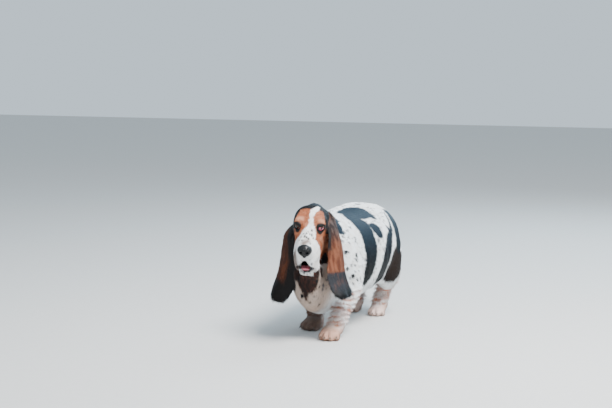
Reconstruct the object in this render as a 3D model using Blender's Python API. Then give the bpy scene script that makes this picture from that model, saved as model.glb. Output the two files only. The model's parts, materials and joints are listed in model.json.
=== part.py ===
"""A basset hound, life size, standing in mid stride with its head turned a little to its left.

Metres, +Z up. The dog faces -Y and its own left is +X. The origin is on the floor, under the middle of its
bounding box. Each form is a loft or an ellipsoid with its own sizes. The forms are fused into whole bodies,
shaped by strokes along the skin, thinned, and parted by thin cuts into the nodes that a person would name.
"""

import math

import bmesh
import bpy
import numpy as np
from mathutils import Matrix, Vector

# Driving sizes of the dog, in metres.
BACK_HEIGHT = 0.388
CHEST_CLEARANCE = 0.072
CHEST_HALF_WIDTH = 0.110
BARREL_HALF_WIDTH = 0.128
CUT_GAP = 0.00035
ORIGIN_SHIFT = Vector((0.001, 0.010, 0.0))

# The head's own frame: u forward along the muzzle, v to the dog's left, w up. Its origin lies between the eyes.
HEAD_ORIGIN = Vector((0.028, -0.328, 0.361))
HEAD_YAW = math.radians(15.5)
HEAD_PITCH = math.radians(25.0)
HEAD_ROLL = math.radians(4.5)
EYE_SPACING = 0.068
EYE_RADIUS = 0.0112
EYE_CENTRE = Vector((-0.0072, EYE_SPACING / 2, -0.0030))
EYE_TURN = math.radians(24.0)

BODY_VOXEL = 0.0045
HEAD_VOXEL = 0.0021
PAW_VOXEL = 0.0022

UP = Vector((0, 0, 1))
REAR = Vector((0, 1, 0))


def head_matrix():
    level = Vector((math.cos(HEAD_YAW), math.sin(HEAD_YAW), 0))
    forward = Vector(
        (
            math.sin(HEAD_YAW) * math.cos(HEAD_PITCH),
            -math.cos(HEAD_YAW) * math.cos(HEAD_PITCH),
            -math.sin(HEAD_PITCH),
        )
    )
    upright = forward.cross(level)
    up = upright * math.cos(HEAD_ROLL) + level * math.sin(HEAD_ROLL)
    left = level * math.cos(HEAD_ROLL) - upright * math.sin(HEAD_ROLL)
    matrix = Matrix.Identity(4)
    for column, axis in enumerate((forward, left, up)):
        matrix.col[column][:3] = axis
    matrix.translation = HEAD_ORIGIN
    return matrix


HEAD = head_matrix()


def clear_scene():
    for obj in list(bpy.data.objects):
        bpy.data.objects.remove(obj)


def new_object(name, points, faces):
    mesh = bpy.data.meshes.new(name)
    mesh.from_pydata([tuple(p) for p in points], [], faces)
    made = bmesh.new()
    made.from_mesh(mesh)
    bmesh.ops.recalc_face_normals(made, faces=made.faces)
    made.to_mesh(mesh)
    made.free()
    obj = bpy.data.objects.new(name, mesh)
    bpy.context.scene.collection.objects.link(obj)
    return obj


def smooth_rows(rows, count):
    """Rows of numbers joined by a smooth curve and read at even steps of its first three columns."""
    rows = np.array(rows, float)
    step = np.linalg.norm(np.diff(rows[:, :3], axis=0), axis=1)
    at = np.concatenate([[0], np.cumsum(step)])
    slope = np.gradient(rows, at, axis=0)
    where = np.linspace(0, at[-1], count)
    i = np.clip(np.searchsorted(at, where, side="right") - 1, 0, len(at) - 2)
    span = (at[i + 1] - at[i])[:, None]
    t = (where - at[i])[:, None] / span
    return (
        rows[i] * (1 + 2 * t) * (1 - t) ** 2
        + slope[i] * span * t * (1 - t) ** 2
        + rows[i + 1] * t * t * (3 - 2 * t)
        + slope[i + 1] * span * t * t * (t - 1)
    )


def ring(centre, side, up, half, above, below, power_up, power_down, around):
    points = []
    for k in range(around):
        angle = 2 * math.pi * k / around
        c, s = math.cos(angle), math.sin(angle)
        power = 2 / (power_up if s >= 0 else power_down)
        reach = above if s >= 0 else below
        points.append(
            centre
            + side * (half * math.copysign(abs(c) ** power, c))
            + up * (reach * math.copysign(abs(s) ** power, s))
        )
    return points


def loft(name, stations, up_hint=UP, frame=None, around=28, along=20, caps=(0.6, 0.6)):
    """A closed body through stations (x, y, z, half width, reach above, reach below, squareness above, below)."""
    rows = smooth_rows(stations, along)
    tangents = np.gradient(rows[:, :3], axis=0)
    rings = []
    for row, tangent in zip(rows, tangents):
        tangent = Vector(tangent).normalized()
        side = up_hint.cross(tangent).normalized()
        up = tangent.cross(side)
        rings.append((Vector(row[:3]), tangent, side, up, row[3:]))
    listed = []
    cap_steps = 4
    for end, share in ((0, caps[0]), (-1, caps[1])):
        centre, tangent, side, up, sizes = rings[end]
        outward = -tangent if end == 0 else tangent
        length = share * min(sizes[0], (sizes[1] + sizes[2]) / 2)
        capped = []
        for k in range(1, cap_steps + 1):
            angle = math.pi / 2 * k / (cap_steps + 0.35)
            shrink = math.cos(angle)
            place = centre + outward * (length * math.sin(angle))
            shrunk = (*(value * shrink for value in sizes[:3]), sizes[3], sizes[4])
            capped.append((place, tangent, side, up, shrunk))
        listed.append(capped)
    rings = listed[0][::-1] + rings + listed[1]
    points = []
    for centre, _, side, up, sizes in rings:
        points += ring(centre, side, up, *sizes, around)
    faces = []
    for r in range(len(rings) - 1):
        for k in range(around):
            n = (k + 1) % around
            a, b = r * around, (r + 1) * around
            faces.append((a + k, a + n, b + n, b + k))
    faces.append(tuple(range(around)))
    last = (len(rings) - 1) * around
    faces.append(tuple(last + k for k in range(around)))
    if frame is not None:
        points = [frame @ p for p in points]
    return new_object(name, points, faces)


def limb(name, stations, **more):
    """A loft down a limb: each station gives the half width and the reach to the rear and to the front."""
    return loft(name, [(*row, 2.1, 2.1) for row in stations], up_hint=REAR, **more)


def ellipsoid(name, centre, radii, frame=None, turn=None, rings=28):
    made = bmesh.new()
    bmesh.ops.create_uvsphere(made, u_segments=rings * 2, v_segments=rings, radius=1)
    place = Matrix.Translation(Vector(centre))
    if turn is not None:
        place = place @ turn
    place = place @ Matrix.Diagonal((*radii, 1))
    if frame is not None:
        place = frame @ place
    made.transform(place)
    mesh = bpy.data.meshes.new(name)
    made.to_mesh(mesh)
    made.free()
    obj = bpy.data.objects.new(name, mesh)
    bpy.context.scene.collection.objects.link(obj)
    return obj


def both_sides(make):
    """Calls make(side) for the dog's left, +1, and right, -1, and returns all that it made."""
    return [*make(1), *make(-1)]


def evaluated_mesh(obj):
    graph = bpy.context.evaluated_depsgraph_get()
    return bpy.data.meshes.new_from_object(obj.evaluated_get(graph))


def apply_modifiers(obj):
    mesh = evaluated_mesh(obj)
    obj.modifiers.clear()
    old = obj.data
    obj.data = mesh
    bpy.data.meshes.remove(old)
    return obj


def fuse(name, pieces, voxel):
    """One closed skin round all the pieces, which are removed."""
    points, faces = [], []
    for piece in pieces:
        first = len(points)
        points += [piece.matrix_world @ v.co for v in piece.data.vertices]
        faces += [tuple(first + i for i in p.vertices) for p in piece.data.polygons]
        bpy.data.objects.remove(piece)
    mesh = bpy.data.meshes.new(name)
    mesh.from_pydata(points, [], faces)
    obj = bpy.data.objects.new(name, mesh)
    bpy.context.scene.collection.objects.link(obj)
    remesh = obj.modifiers.new("fuse", "REMESH")
    remesh.mode = "VOXEL"
    remesh.voxel_size = voxel
    remesh.adaptivity = 0
    return apply_modifiers(obj)


def read_points(obj):
    co = np.empty(len(obj.data.vertices) * 3)
    obj.data.vertices.foreach_get("co", co)
    return co.reshape(-1, 3)


def write_points(obj, co):
    obj.data.vertices.foreach_set("co", co.astype(np.float32).ravel())
    obj.data.update()


def read_normals(obj):
    normals = np.empty(len(obj.data.vertices) * 3)
    obj.data.vertex_normals.foreach_get("vector", normals)
    return normals.reshape(-1, 3)


def relax(obj, rounds, strength=0.5, restore=0.0, where=None):
    """Evens out the skin. restore above 0 swells it back after each round, so that thin forms keep their size."""
    edges = np.empty(len(obj.data.edges) * 2, np.int64)
    obj.data.edges.foreach_get("vertices", edges)
    edges = edges.reshape(-1, 2)
    ends = np.concatenate([edges[:, 0], edges[:, 1]])
    others = np.concatenate([edges[:, 1], edges[:, 0]])
    co = read_points(obj)
    share = np.ones(len(co)) if where is None else where(co)
    count = np.maximum(np.bincount(ends, minlength=len(co)), 1)
    for _ in range(rounds):
        for amount in (strength, -restore):
            if amount == 0:
                continue
            mean = np.stack(
                [
                    np.bincount(ends, weights=co[others, axis], minlength=len(co))
                    for axis in range(3)
                ],
                axis=1,
            )
            mean /= count[:, None]
            co = co + (mean - co) * (amount * share)[:, None]
    write_points(obj, co)


def near_path(co, path):
    """Distance from each point to a line through the path's points."""
    best = np.full(len(co), np.inf)
    for a, b in zip(path[:-1], path[1:]):
        a, b = np.array(a, float), np.array(b, float)
        run = b - a
        t = np.clip((co - a) @ run / max(run @ run, 1e-12), 0, 1)
        best = np.minimum(best, np.linalg.norm(co - (a + t[:, None] * run), axis=1))
    return best


def stroke(obj, path, radius, height, frame=None):
    """Raises the skin, or with a height below 0 presses it in, along a line with a soft edge."""
    if frame is not None:
        path = [frame @ Vector(p) for p in path]
    if len(path) == 1:
        path = [path[0], Vector(path[0]) + Vector((0, 0, 1e-5))]
    path = np.array([tuple(p) for p in path])
    co = read_points(obj)
    low, high = path.min(0) - radius, path.max(0) + radius
    inside = np.nonzero(((co > low) & (co < high)).all(1))[0]
    if not len(inside):
        return
    fall = np.clip(1 - (near_path(co[inside], path) / radius) ** 2, 0, 1) ** 2
    co[inside] += read_normals(obj)[inside] * (height * fall)[:, None]
    write_points(obj, co)


def boolean(obj, other, operation, solver="MANIFOLD", keep=False):
    cut = obj.modifiers.new("cut", "BOOLEAN")
    cut.operation = operation
    cut.object = other
    cut.solver = solver
    apply_modifiers(obj)
    if not keep:
        bpy.data.objects.remove(other)
    return obj


def thin(obj, triangles):
    """Fewer triangles, with the same shape as far as they allow."""
    faces = sum(len(p.vertices) - 2 for p in obj.data.polygons)
    decimate = obj.modifiers.new("thin", "DECIMATE")
    decimate.ratio = min(1.0, triangles / faces)
    decimate.use_collapse_triangulate = True
    return apply_modifiers(obj)


def grown(obj, by):
    """A copy of obj, swollen by a small distance along its normals."""
    copy = obj.copy()
    copy.data = obj.data.copy()
    bpy.context.scene.collection.objects.link(copy)
    write_points(copy, read_points(copy) + read_normals(copy) * by)
    return copy


# The dog's forms. Torso stations: place along the body, top, bottom, half width, and squareness of the keel.
WIDEST_AT = 0.47
TORSO = (
    (-0.285, 0.300, 0.165, 0.040, 2.0),
    (-0.262, 0.335, 0.112, 0.060, 1.9),
    (-0.205, 0.366, CHEST_CLEARANCE, 0.084, 1.8),
    (-0.110, 0.378, 0.074, CHEST_HALF_WIDTH, 1.85),
    (-0.010, 0.380, 0.083, 0.124, 2.0),
    (0.085, BACK_HEIGHT, 0.094, BARREL_HALF_WIDTH, 2.1),
    (0.175, BACK_HEIGHT, 0.112, 0.124, 2.1),
    (0.250, 0.378, 0.150, 0.108, 2.1),
    (0.300, 0.355, 0.190, 0.084, 2.1),
)


def torso_form():
    stations = []
    for y, top, bottom, half, keel in TORSO:
        middle = bottom + (top - bottom) * WIDEST_AT
        stations.append((0, y, middle, half, top - middle, middle - bottom, 2.2, keel))
    return loft("torso", stations, around=40, along=36, caps=(0.5, 0.5))


NECK = (
    (0.000, -0.090, 0.275, 0.092, 0.098, 0.120, 2.1, 2.0),
    (0.000, -0.150, 0.295, 0.084, 0.090, 0.130, 2.1, 1.9),
    (0.003, -0.200, 0.318, 0.070, 0.078, 0.118, 2.1, 1.8),
    (0.010, -0.240, 0.338, 0.058, 0.062, 0.098, 2.1, 1.8),
    (0.016, -0.268, 0.346, 0.050, 0.050, 0.080, 2.1, 1.8),
)
DEWLAP = (
    (0.036, -0.345, 0.258, 0.022, 0.026, 0.018),
    (0.031, -0.330, 0.232, 0.027, 0.044, 0.019),
    (0.020, -0.308, 0.195, 0.032, 0.058, 0.022),
    (0.009, -0.284, 0.152, 0.036, 0.060, 0.026),
    (0.002, -0.255, 0.112, 0.034, 0.050, 0.024),
)


def neck_forms():
    return [
        loft("neck", NECK, around=36, along=20),
        limb("dewlap", DEWLAP, around=28, along=20),
    ]


# Head forms, in the head's frame.
SKULL = (
    (-0.126, 0, -0.026, 0.038, 0.030, 0.040, 2.1, 2.0),
    (-0.100, 0, -0.030, 0.0530, 0.049, 0.048, 2.2, 2.0),
    (-0.060, 0, -0.030, 0.0575, 0.055, 0.050, 2.3, 2.0),
    (-0.028, 0, -0.030, 0.0530, 0.051, 0.048, 2.4, 2.1),
    (-0.008, 0, -0.030, 0.0450, 0.043, 0.044, 2.4, 2.2),
    (0.012, 0, -0.034, 0.0350, 0.039, 0.040, 2.0, 2.2),
    (0.040, 0, -0.036, 0.0325, 0.035, 0.036, 1.9, 2.3),
    (0.070, 0, -0.036, 0.0305, 0.0315, 0.034, 1.9, 2.3),
    (0.095, 0, -0.035, 0.0265, 0.0265, 0.028, 2.0, 2.3),
)
OCCIPUT = ((-0.132, 0, -0.014), (0.021, 0.017, 0.016))
BROW = ((-0.026, 0.0310, 0.0050), (0.034, 0.021, 0.0140))
LIDS = ((-0.0090, 0.0340, -0.0035), (0.0152, 0.0152, 0.0152))
TEMPLE = ((-0.032, 0.0375, -0.012), (0.034, 0.0165, 0.028))
UNDER_EYE = ((-0.012, 0.0320, -0.032), (0.034, 0.0145, 0.024))
CHEEK = ((-0.050, 0.038, -0.030), (0.048, 0.017, 0.034))
JOWL = ((-0.050, 0.033, -0.078), (0.046, 0.021, 0.036))
FLEW = (
    (-0.045, 0.034, -0.064, 0.010, 0.026, 0.030, 2, 2),
    (-0.012, 0.0325, -0.066, 0.0110, 0.036, 0.042, 2, 2),
    (0.022, 0.0295, -0.068, 0.0120, 0.042, 0.043, 2, 2),
    (0.050, 0.0270, -0.068, 0.0125, 0.040, 0.045, 2, 2),
    (0.072, 0.0240, -0.066, 0.0120, 0.036, 0.046, 2, 2),
    (0.088, 0.0170, -0.058, 0.0110, 0.030, 0.034, 2, 2),
)
LIP_FRONT = ((0.089, 0.0115, -0.048), (0.0145, 0.0125, 0.021))
# The lower jaw hangs open.
JAW = (
    (-0.080, 0, -0.068, 0.034, 0.022, 0.024, 2.2, 2.0),
    (-0.030, 0, -0.088, 0.030, 0.014, 0.022, 2.2, 2.0),
    (0.020, 0, -0.106, 0.0245, 0.009, 0.018, 2.4, 2.0),
    (0.056, 0, -0.1165, 0.0210, 0.0075, 0.0115, 2.6, 2.0),
    (0.080, 0, -0.1198, 0.0185, 0.0066, 0.0085, 2.6, 2.0),
)
MOUTH = (
    (-0.020, 0, -0.084, 0.014, 0.010, 0.013, 2.2, 2.2),
    (0.030, 0, -0.090, 0.0200, 0.017, 0.016, 2.0, 2.2),
    (0.070, 0, -0.095, 0.0258, 0.026, 0.018, 1.5, 2.2),
    (0.110, 0, -0.099, 0.0270, 0.030, 0.015, 1.5, 2.2),
    (0.140, 0, -0.102, 0.0270, 0.025, 0.013, 1.5, 2.2),
)
TONGUE = (
    (0.000, 0, -0.098, 0.0120, 0.0050, 0.0050, 2, 2),
    (0.030, 0, -0.1020, 0.0150, 0.0060, 0.0050, 2, 2),
    (0.056, 0, -0.1060, 0.0155, 0.0065, 0.0050, 2, 2),
    (0.073, 0, -0.1090, 0.0125, 0.0055, 0.0045, 2, 2),
)
NOSE = ((0.1010, 0, -0.0225), (0.0165, 0.0210, 0.0195))
NOSTRIL = ((0.1150, 0.0095, -0.0220), (0.0080, 0.0036, 0.0052))


def mirrored(row, side):
    return (row[0], row[1] * side, *row[2:])


def upper_head_forms():
    def sides(side):
        return [
            ellipsoid("brow", mirrored(BROW[0], side), BROW[1], HEAD),
            ellipsoid("lids", mirrored(LIDS[0], side), LIDS[1], HEAD),
            ellipsoid("temple", mirrored(TEMPLE[0], side), TEMPLE[1], HEAD),
            ellipsoid("under_eye", mirrored(UNDER_EYE[0], side), UNDER_EYE[1], HEAD),
            ellipsoid("cheek", mirrored(CHEEK[0], side), CHEEK[1], HEAD),
            ellipsoid("jowl", mirrored(JOWL[0], side), JOWL[1], HEAD),
            ellipsoid("lip", mirrored(LIP_FRONT[0], side), LIP_FRONT[1], HEAD),
            loft("flew", [mirrored(row, side) for row in FLEW], frame=HEAD, around=24),
        ]

    return [
        loft("skull", SKULL, frame=HEAD, around=36, along=32),
        ellipsoid("occiput", *OCCIPUT, HEAD),
        *both_sides(sides),
    ]


def jaw_form():
    return loft("lower_jaw", JAW, frame=HEAD, around=22, along=12)


# Legs, each from the shoulder or hip to the pastern: place, half width, reach to the rear and to the front.
FORE_LEFT = (
    (0.062, -0.150, 0.290, 0.038, 0.060, 0.055),
    (0.078, -0.140, 0.215, 0.040, 0.062, 0.056),
    (0.088, -0.140, 0.160, 0.036, 0.048, 0.044),
    (0.083, -0.166, 0.116, 0.033, 0.036, 0.035),
    (0.078, -0.194, 0.082, 0.029, 0.030, 0.030),
    (0.074, -0.210, 0.052, 0.0275, 0.029, 0.028),
    (0.068, -0.222, 0.028, 0.028, 0.028, 0.028),
)
FORE_RIGHT = (
    (-0.060, -0.150, 0.290, 0.036, 0.060, 0.055),
    (-0.070, -0.125, 0.215, 0.038, 0.060, 0.060),
    (-0.076, -0.102, 0.160, 0.035, 0.046, 0.048),
    (-0.070, -0.094, 0.116, 0.032, 0.035, 0.036),
    (-0.062, -0.088, 0.082, 0.029, 0.030, 0.030),
    (-0.057, -0.087, 0.052, 0.0275, 0.029, 0.028),
    (-0.053, -0.094, 0.028, 0.028, 0.027, 0.028),
)
HIND_LEFT = (
    (0.058, 0.205, 0.285, 0.052, 0.084, 0.085),
    (0.074, 0.192, 0.220, 0.051, 0.088, 0.085),
    (0.083, 0.188, 0.168, 0.045, 0.078, 0.066),
    (0.078, 0.216, 0.132, 0.040, 0.053, 0.048),
    (0.061, 0.238, 0.098, 0.029, 0.032, 0.031),
    (0.050, 0.234, 0.062, 0.0265, 0.026, 0.027),
    (0.046, 0.226, 0.030, 0.028, 0.027, 0.030),
)
HIND_RIGHT = (
    (-0.058, 0.210, 0.285, 0.052, 0.084, 0.085),
    (-0.074, 0.204, 0.220, 0.051, 0.088, 0.085),
    (-0.083, 0.208, 0.168, 0.045, 0.078, 0.066),
    (-0.078, 0.242, 0.132, 0.040, 0.053, 0.048),
    (-0.065, 0.276, 0.100, 0.028, 0.032, 0.031),
    (-0.060, 0.274, 0.062, 0.0265, 0.026, 0.027),
    (-0.057, 0.262, 0.030, 0.028, 0.027, 0.030),
)
LEGS = {
    "front_left": FORE_LEFT,
    "front_right": FORE_RIGHT,
    "hind_left": HIND_LEFT,
    "hind_right": HIND_RIGHT,
}
# Each paw: its middle on the floor, its heading in degrees towards the dog's left, and its size as a share.
PAWS = {
    "front_left": ((0.064, -0.240), 8, 0.94),
    "front_right": ((-0.053, -0.112), -10, 0.94),
    "hind_left": ((0.047, 0.206), 6, 0.84),
    "hind_right": ((-0.057, 0.242), -8, 0.84),
}
TOES = ((-0.0255, 0.018, 0.90), (-0.0088, 0.0295, 1.0), (0.0088, 0.0295, 1.0), (0.0255, 0.018, 0.90))
TOE_RADII = (0.0118, 0.0215, 0.0175)
CLAW_LENGTH = 0.013
CLAW_RADIUS = 0.0034


def paw_matrix(which):
    (x, y), heading, size = PAWS[which]
    turn = Matrix.Rotation(math.radians(heading), 4, "Z")
    # Local +Y is the way the paw points, which is -Y for the dog.
    face = Matrix.Rotation(math.pi, 4, "Z")
    return Matrix.Translation((x, y, 0)) @ turn @ face @ Matrix.Scale(size, 4)


def paw_forms(which):
    frame = paw_matrix(which)
    made = [
        ellipsoid("instep", (0, -0.006, 0.025), (0.032, 0.038, 0.024), frame),
        ellipsoid("heel", (0, -0.020, 0.012), (0.026, 0.020, 0.015), frame),
    ]
    for side, ahead, share in TOES:
        splay = Matrix.Rotation(-side * 7.5, 4, "Z")
        radii = tuple(r * share for r in TOE_RADII)
        made.append(ellipsoid("toe", (side, ahead, 0.0145 * share), radii, frame, splay))
        knuckle = (side * 0.86, ahead - 0.016, 0.0235)
        made.append(ellipsoid("knuckle", knuckle, (0.0105, 0.020, 0.014), frame, splay))
    return made


def claw_forms(which):
    """A short blunt claw on each toe, curving down to the floor."""
    frame = paw_matrix(which)
    made = []
    for side, ahead, share in TOES:
        root = Vector((side * 1.04, ahead + 0.0155 * share, 0.0135))
        away = Vector((side * 7.5, 1, 0)).normalized()
        stations = []
        for k in range(4):
            t = k / 3
            place = root + away * (CLAW_LENGTH * t) - UP * (0.0085 * t * t)
            r = CLAW_RADIUS * (1 - 0.72 * t)
            stations.append((*place, r * 0.85, r, r, 2, 2))
        made.append(loft("claw", stations, frame=frame, around=10, along=6))
    return made


TAIL = (
    (0.000, 0.275, 0.340, 0.030, 0.030, 0.030),
    (0.000, 0.328, 0.328, 0.023, 0.023, 0.023),
    (0.003, 0.362, 0.280, 0.017, 0.018, 0.018),
    (0.006, 0.374, 0.220, 0.0145, 0.015, 0.015),
    (0.008, 0.384, 0.160, 0.0115, 0.012, 0.012),
    (0.008, 0.400, 0.112, 0.0070, 0.0075, 0.0075),
)


def tail_form():
    return loft("tail", [(*row, 2, 2) for row in TAIL], up_hint=REAR, along=26)


# Ears: a centre line from the root down to the tip, the width there, how far the edges curl inward, the
# heading of the leather from its front edge to its rear one, and how steeply that rises, in degrees.
EAR_LEFT = (
    (0.038, -0.240, 0.388, 0.048, 0.00, 15, 40),
    (0.058, -0.247, 0.374, 0.054, 0.06, 12, 30),
    (0.080, -0.254, 0.342, 0.068, 0.14, 4, 12),
    (0.092, -0.257, 0.300, 0.089, 0.20, -4, 0),
    (0.098, -0.261, 0.250, 0.095, 0.20, -8, 0),
    (0.101, -0.265, 0.212, 0.101, 0.20, -10, 0),
    (0.107, -0.266, 0.186, 0.102, 0.18, -10, 0),
    (0.116, -0.267, 0.166, 0.092, 0.16, -10, 0),
    (0.124, -0.267, 0.152, 0.070, 0.12, -10, 0),
    (0.127, -0.267, 0.146, 0.050, 0.12, -10, 0),
)
EAR_RIGHT = (
    (-0.032, -0.256, 0.358, 0.048, 0.00, 16, 10),
    (-0.052, -0.266, 0.349, 0.062, 0.04, 26, 8),
    (-0.066, -0.275, 0.326, 0.082, 0.12, 42, 4),
    (-0.066, -0.280, 0.288, 0.094, 0.18, 54, 0),
    (-0.066, -0.282, 0.240, 0.100, 0.18, 60, 0),
    (-0.072, -0.284, 0.205, 0.099, 0.18, 62, 0),
    (-0.084, -0.286, 0.173, 0.098, 0.18, 62, 0),
    (-0.097, -0.288, 0.147, 0.085, 0.16, 62, 0),
    (-0.103, -0.290, 0.132, 0.062, 0.14, 62, 0),
    (-0.105, -0.290, 0.124, 0.036, 0.12, 62, 0),
)
EAR_THICKNESS = 0.0058
EAR_EDGE = 0.40
EAR_WAVE = 0.006
EAR_WAVES = 3.2


def ear_sheet(rows, side, across, along):
    """The middle of the leather as a grid from root to tip and front to rear, its outward side, and its places."""
    rows = smooth_rows(rows, along)
    tangents = np.gradient(rows[:, :3], axis=0)
    sheet, outward, places = [], [], []
    for k, (row, tangent) in enumerate(zip(rows, tangents)):
        centre, width, curl = Vector(row[:3]), row[3], row[4]
        turn, rise = math.radians(row[5]), math.radians(row[6])
        t = k / (along - 1)
        tangent = Vector(tangent).normalized()
        back = Vector((-math.sin(turn) * math.cos(rise), math.cos(turn) * math.cos(rise), math.sin(rise)))
        back = (back - tangent * back.dot(tangent)).normalized()
        out = tangent.cross(back) * side
        for j in range(across + 1):
            s = 2 * j / across - 1
            drop = curl * width * 0.5 * s * s
            wave = EAR_WAVE * t * t * math.sin(EAR_WAVES * s + 1.2 * side + 2.2 * t)
            sheet.append(centre + back * (s * width / 2) + out * (wave - drop))
            outward.append(out)
            places.append((t, s))
    shape = (along, across + 1)
    return (
        np.array(sheet).reshape(*shape, 3),
        np.array(outward).reshape(*shape, 3),
        np.array(places).reshape(*shape, 2),
    )


def ear_form(name, rows, side, across=10, along=22):
    """A soft leather: a curved sheet with both faces offset from it, closed by its rim."""
    sheet, outward, places = ear_sheet(rows, side, across, along)
    thick = EAR_THICKNESS / 2 * np.sqrt(np.maximum(EAR_EDGE, 1 - places[..., 1] ** 4))[..., None]
    outer = (sheet + outward * thick).reshape(-1, 3)
    inner = (sheet - outward * thick).reshape(-1, 3)
    row_size = across + 1
    base = len(outer)
    points = [Vector(p) for p in np.concatenate([outer, inner])]
    faces = []
    for r in range(along - 1):
        for j in range(across):
            a, b = r * row_size + j, (r + 1) * row_size + j
            faces.append((a, a + 1, b + 1, b))
            faces.append((base + a, base + b, base + b + 1, base + a + 1))
        for j in (0, across):
            a, b = r * row_size + j, (r + 1) * row_size + j
            faces.append((a, b, base + b, base + a))
    for r in (0, along - 1):
        for j in range(across):
            a = r * row_size + j
            faces.append((a, a + 1, base + a + 1, base + a))
    return new_object(name, points, faces)


def ears():
    tables = {"ear_left": (EAR_LEFT, 1), "ear_right": (EAR_RIGHT, -1)}
    return {name: ear_form(name, *table, across=8, along=22) for name, table in tables.items()}


def near(co, centre, radius, soft):
    """1 within radius of a point, falling to 0 over a further soft distance."""
    gap = np.linalg.norm(co - np.array(tuple(centre)), axis=1)
    return np.clip(1 - (gap - radius) / soft, 0, 1)


def press_feet(obj):
    """Stands the soles on the floor: whatever lies below it is flattened onto it."""
    co = read_points(obj)
    co[:, 2] = np.maximum(co[:, 2], 0)
    write_points(obj, co)


WRINKLE_HEIGHTS = {"front": (0.058, 0.074, 0.091, 0.110, 0.130), "hind": (0.052, 0.066, 0.082, 0.100)}


def leg_wrinkles(obj, which):
    """Rings of loose skin round the lower leg."""
    rows = smooth_rows(LEGS[which], 60)
    for height in WRINKLE_HEIGHTS[which.split("_")[0]]:
        row = rows[np.argmin(abs(rows[:, 2] - height))]
        for first, last, lean in ((200, 350, 0.004), (20, 160, -0.004)):
            path = []
            for degrees in range(first, last, 12):
                angle = math.radians(degrees)
                reach = row[4] if math.sin(angle) > 0 else row[5]
                away = Vector((math.cos(angle) * row[3], math.sin(angle) * reach, 0))
                path.append(Vector(row[:3]) + away + UP * lean * math.sin(angle * 2))
            stroke(obj, path, 0.007, -0.0022)


def eye_axis(side):
    turned = Matrix.Rotation(EYE_TURN * side, 4, "Z")
    return HEAD @ Matrix.Translation(mirrored(EYE_CENTRE, side)) @ turned


def body():
    forms = [torso_form(), *neck_forms(), *upper_head_forms(), tail_form()]
    for which, stations in LEGS.items():
        forms.append(limb(which, stations, along=26))
    skin = fuse("body", forms, BODY_VOXEL)
    relax(skin, 14, 0.6, where=lambda co: 1 - 0.8 * near(co, (0.008, 0.385, 0.14), 0.09, 0.05))
    for which in LEGS:
        leg_wrinkles(skin, which)
    press_feet(skin)
    return skin


def head():
    skin = fuse("head", [*upper_head_forms(), *neck_forms()], HEAD_VOXEL)
    relax(skin, 10, 0.6)
    for side in (1, -1):
        eye_strokes(skin, side)
    return skin


def eye_strokes(skin, side):
    """The folds over and under the eye."""
    fold = [(-0.004, 0.024, 0.012), (0.0, 0.034, 0.016), (-0.006, 0.045, 0.012)]
    under = [(0.006, 0.026, -0.012), (0.004, 0.036, -0.017), (-0.006, 0.046, -0.013)]
    for path, height in ((fold, -0.0016), (under, -0.0020)):
        stroke(skin, [mirrored(p, side) for p in path], 0.005, height, HEAD)


def paw(which):
    skin = fuse("paw", [limb(which, LEGS[which], along=26), *paw_forms(which)], PAW_VOXEL)
    relax(skin, 5, 0.5)
    press_feet(skin)
    for claw in claw_forms(which):
        boolean(skin, claw, "UNION")
    press_feet(skin)
    return skin


def region(planes, gap=0.0):
    """A convex block behind every plane, each a point and an outward normal, moved in by the gap."""
    made = bmesh.new()
    bmesh.ops.create_cube(made, size=2.4)
    for point, normal in planes:
        normal = Vector(normal).normalized()
        everything = made.verts[:] + made.edges[:] + made.faces[:]
        cut = bmesh.ops.bisect_plane(
            made, geom=everything, plane_co=Vector(point) - normal * gap, plane_no=normal, clear_outer=True
        )
        edges = [e for e in cut["geom_cut"] if isinstance(e, bmesh.types.BMEdge)]
        bmesh.ops.contextual_create(made, geom=edges)
    bmesh.ops.triangulate(made, faces=made.faces)
    bmesh.ops.recalc_face_normals(made, faces=made.faces)
    mesh = bpy.data.meshes.new("region")
    made.to_mesh(mesh)
    made.free()
    obj = bpy.data.objects.new("region", mesh)
    bpy.context.scene.collection.objects.link(obj)
    return obj


HEAD_PLANES = (
    ((0, -0.205, 0.345), (0, 0.92, -0.39)),
    ((0, -0.340, 0.205), (0, 0.63, -0.777)),
)
NECK_PLANES = (((0, -0.160, 0.385), (0, 0.872, -0.49)),)
TAIL_PLANES = (((0, 0.3435, 0.3), (0, -1, 0)),)
PAW_HEIGHT = 0.046


def leg_planes(which, paw):
    end, side = which.split("_")
    side = 1 if side == "left" else -1
    floor = ((0, 0, PAW_HEIGHT), (0, 0, 1 if paw else -1))
    if end == "front":
        inner = ((0.040 * side, 0, 0), (-side, 0, 0))
        slant = ((0.040 * side, 0, 0.088), (-0.743 * side, 0, 0.671))
        limit = ((0, -0.045, 0), (0, 1, 0))
    else:
        inner = ((0.028 * side, 0, 0), (-side, 0, 0))
        slant = ((0.028 * side, 0, 0.120), (-0.657 * side, 0, 0.754))
        limit = ((0, 0.110, 0.168), (0, -0.95, -0.316))
    if paw:
        return (((0, 0, 0), (-side, 0, 0)), floor, ((0, 0.03, 0), (0, 1 if end == "front" else -1, 0)))
    return (inner, slant, limit, floor)


def largest(obj):
    """Keeps the biggest closed surface, so that no crumb is left beside it."""
    made = bmesh.new()
    made.from_mesh(obj.data)
    unseen, groups = set(made.verts), []
    while unseen:
        stack, group = [unseen.pop()], []
        while stack:
            vert = stack.pop()
            group.append(vert)
            for edge in vert.link_edges:
                other = edge.other_vert(vert)
                if other in unseen:
                    unseen.remove(other)
                    stack.append(other)
        groups.append(group)
    groups.sort(key=len)
    bmesh.ops.delete(made, geom=[v for group in groups[:-1] for v in group], context="VERTS")
    made.to_mesh(obj.data)
    made.free()
    return obj


def piece(name, source, planes, gap=CUT_GAP):
    """The part of the source that lies in a region."""
    obj = source.copy()
    obj.data = source.data.copy()
    obj.name = obj.data.name = name
    bpy.context.scene.collection.objects.link(obj)
    boolean(obj, region(planes, gap), "INTERSECT")
    return largest(obj)


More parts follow.
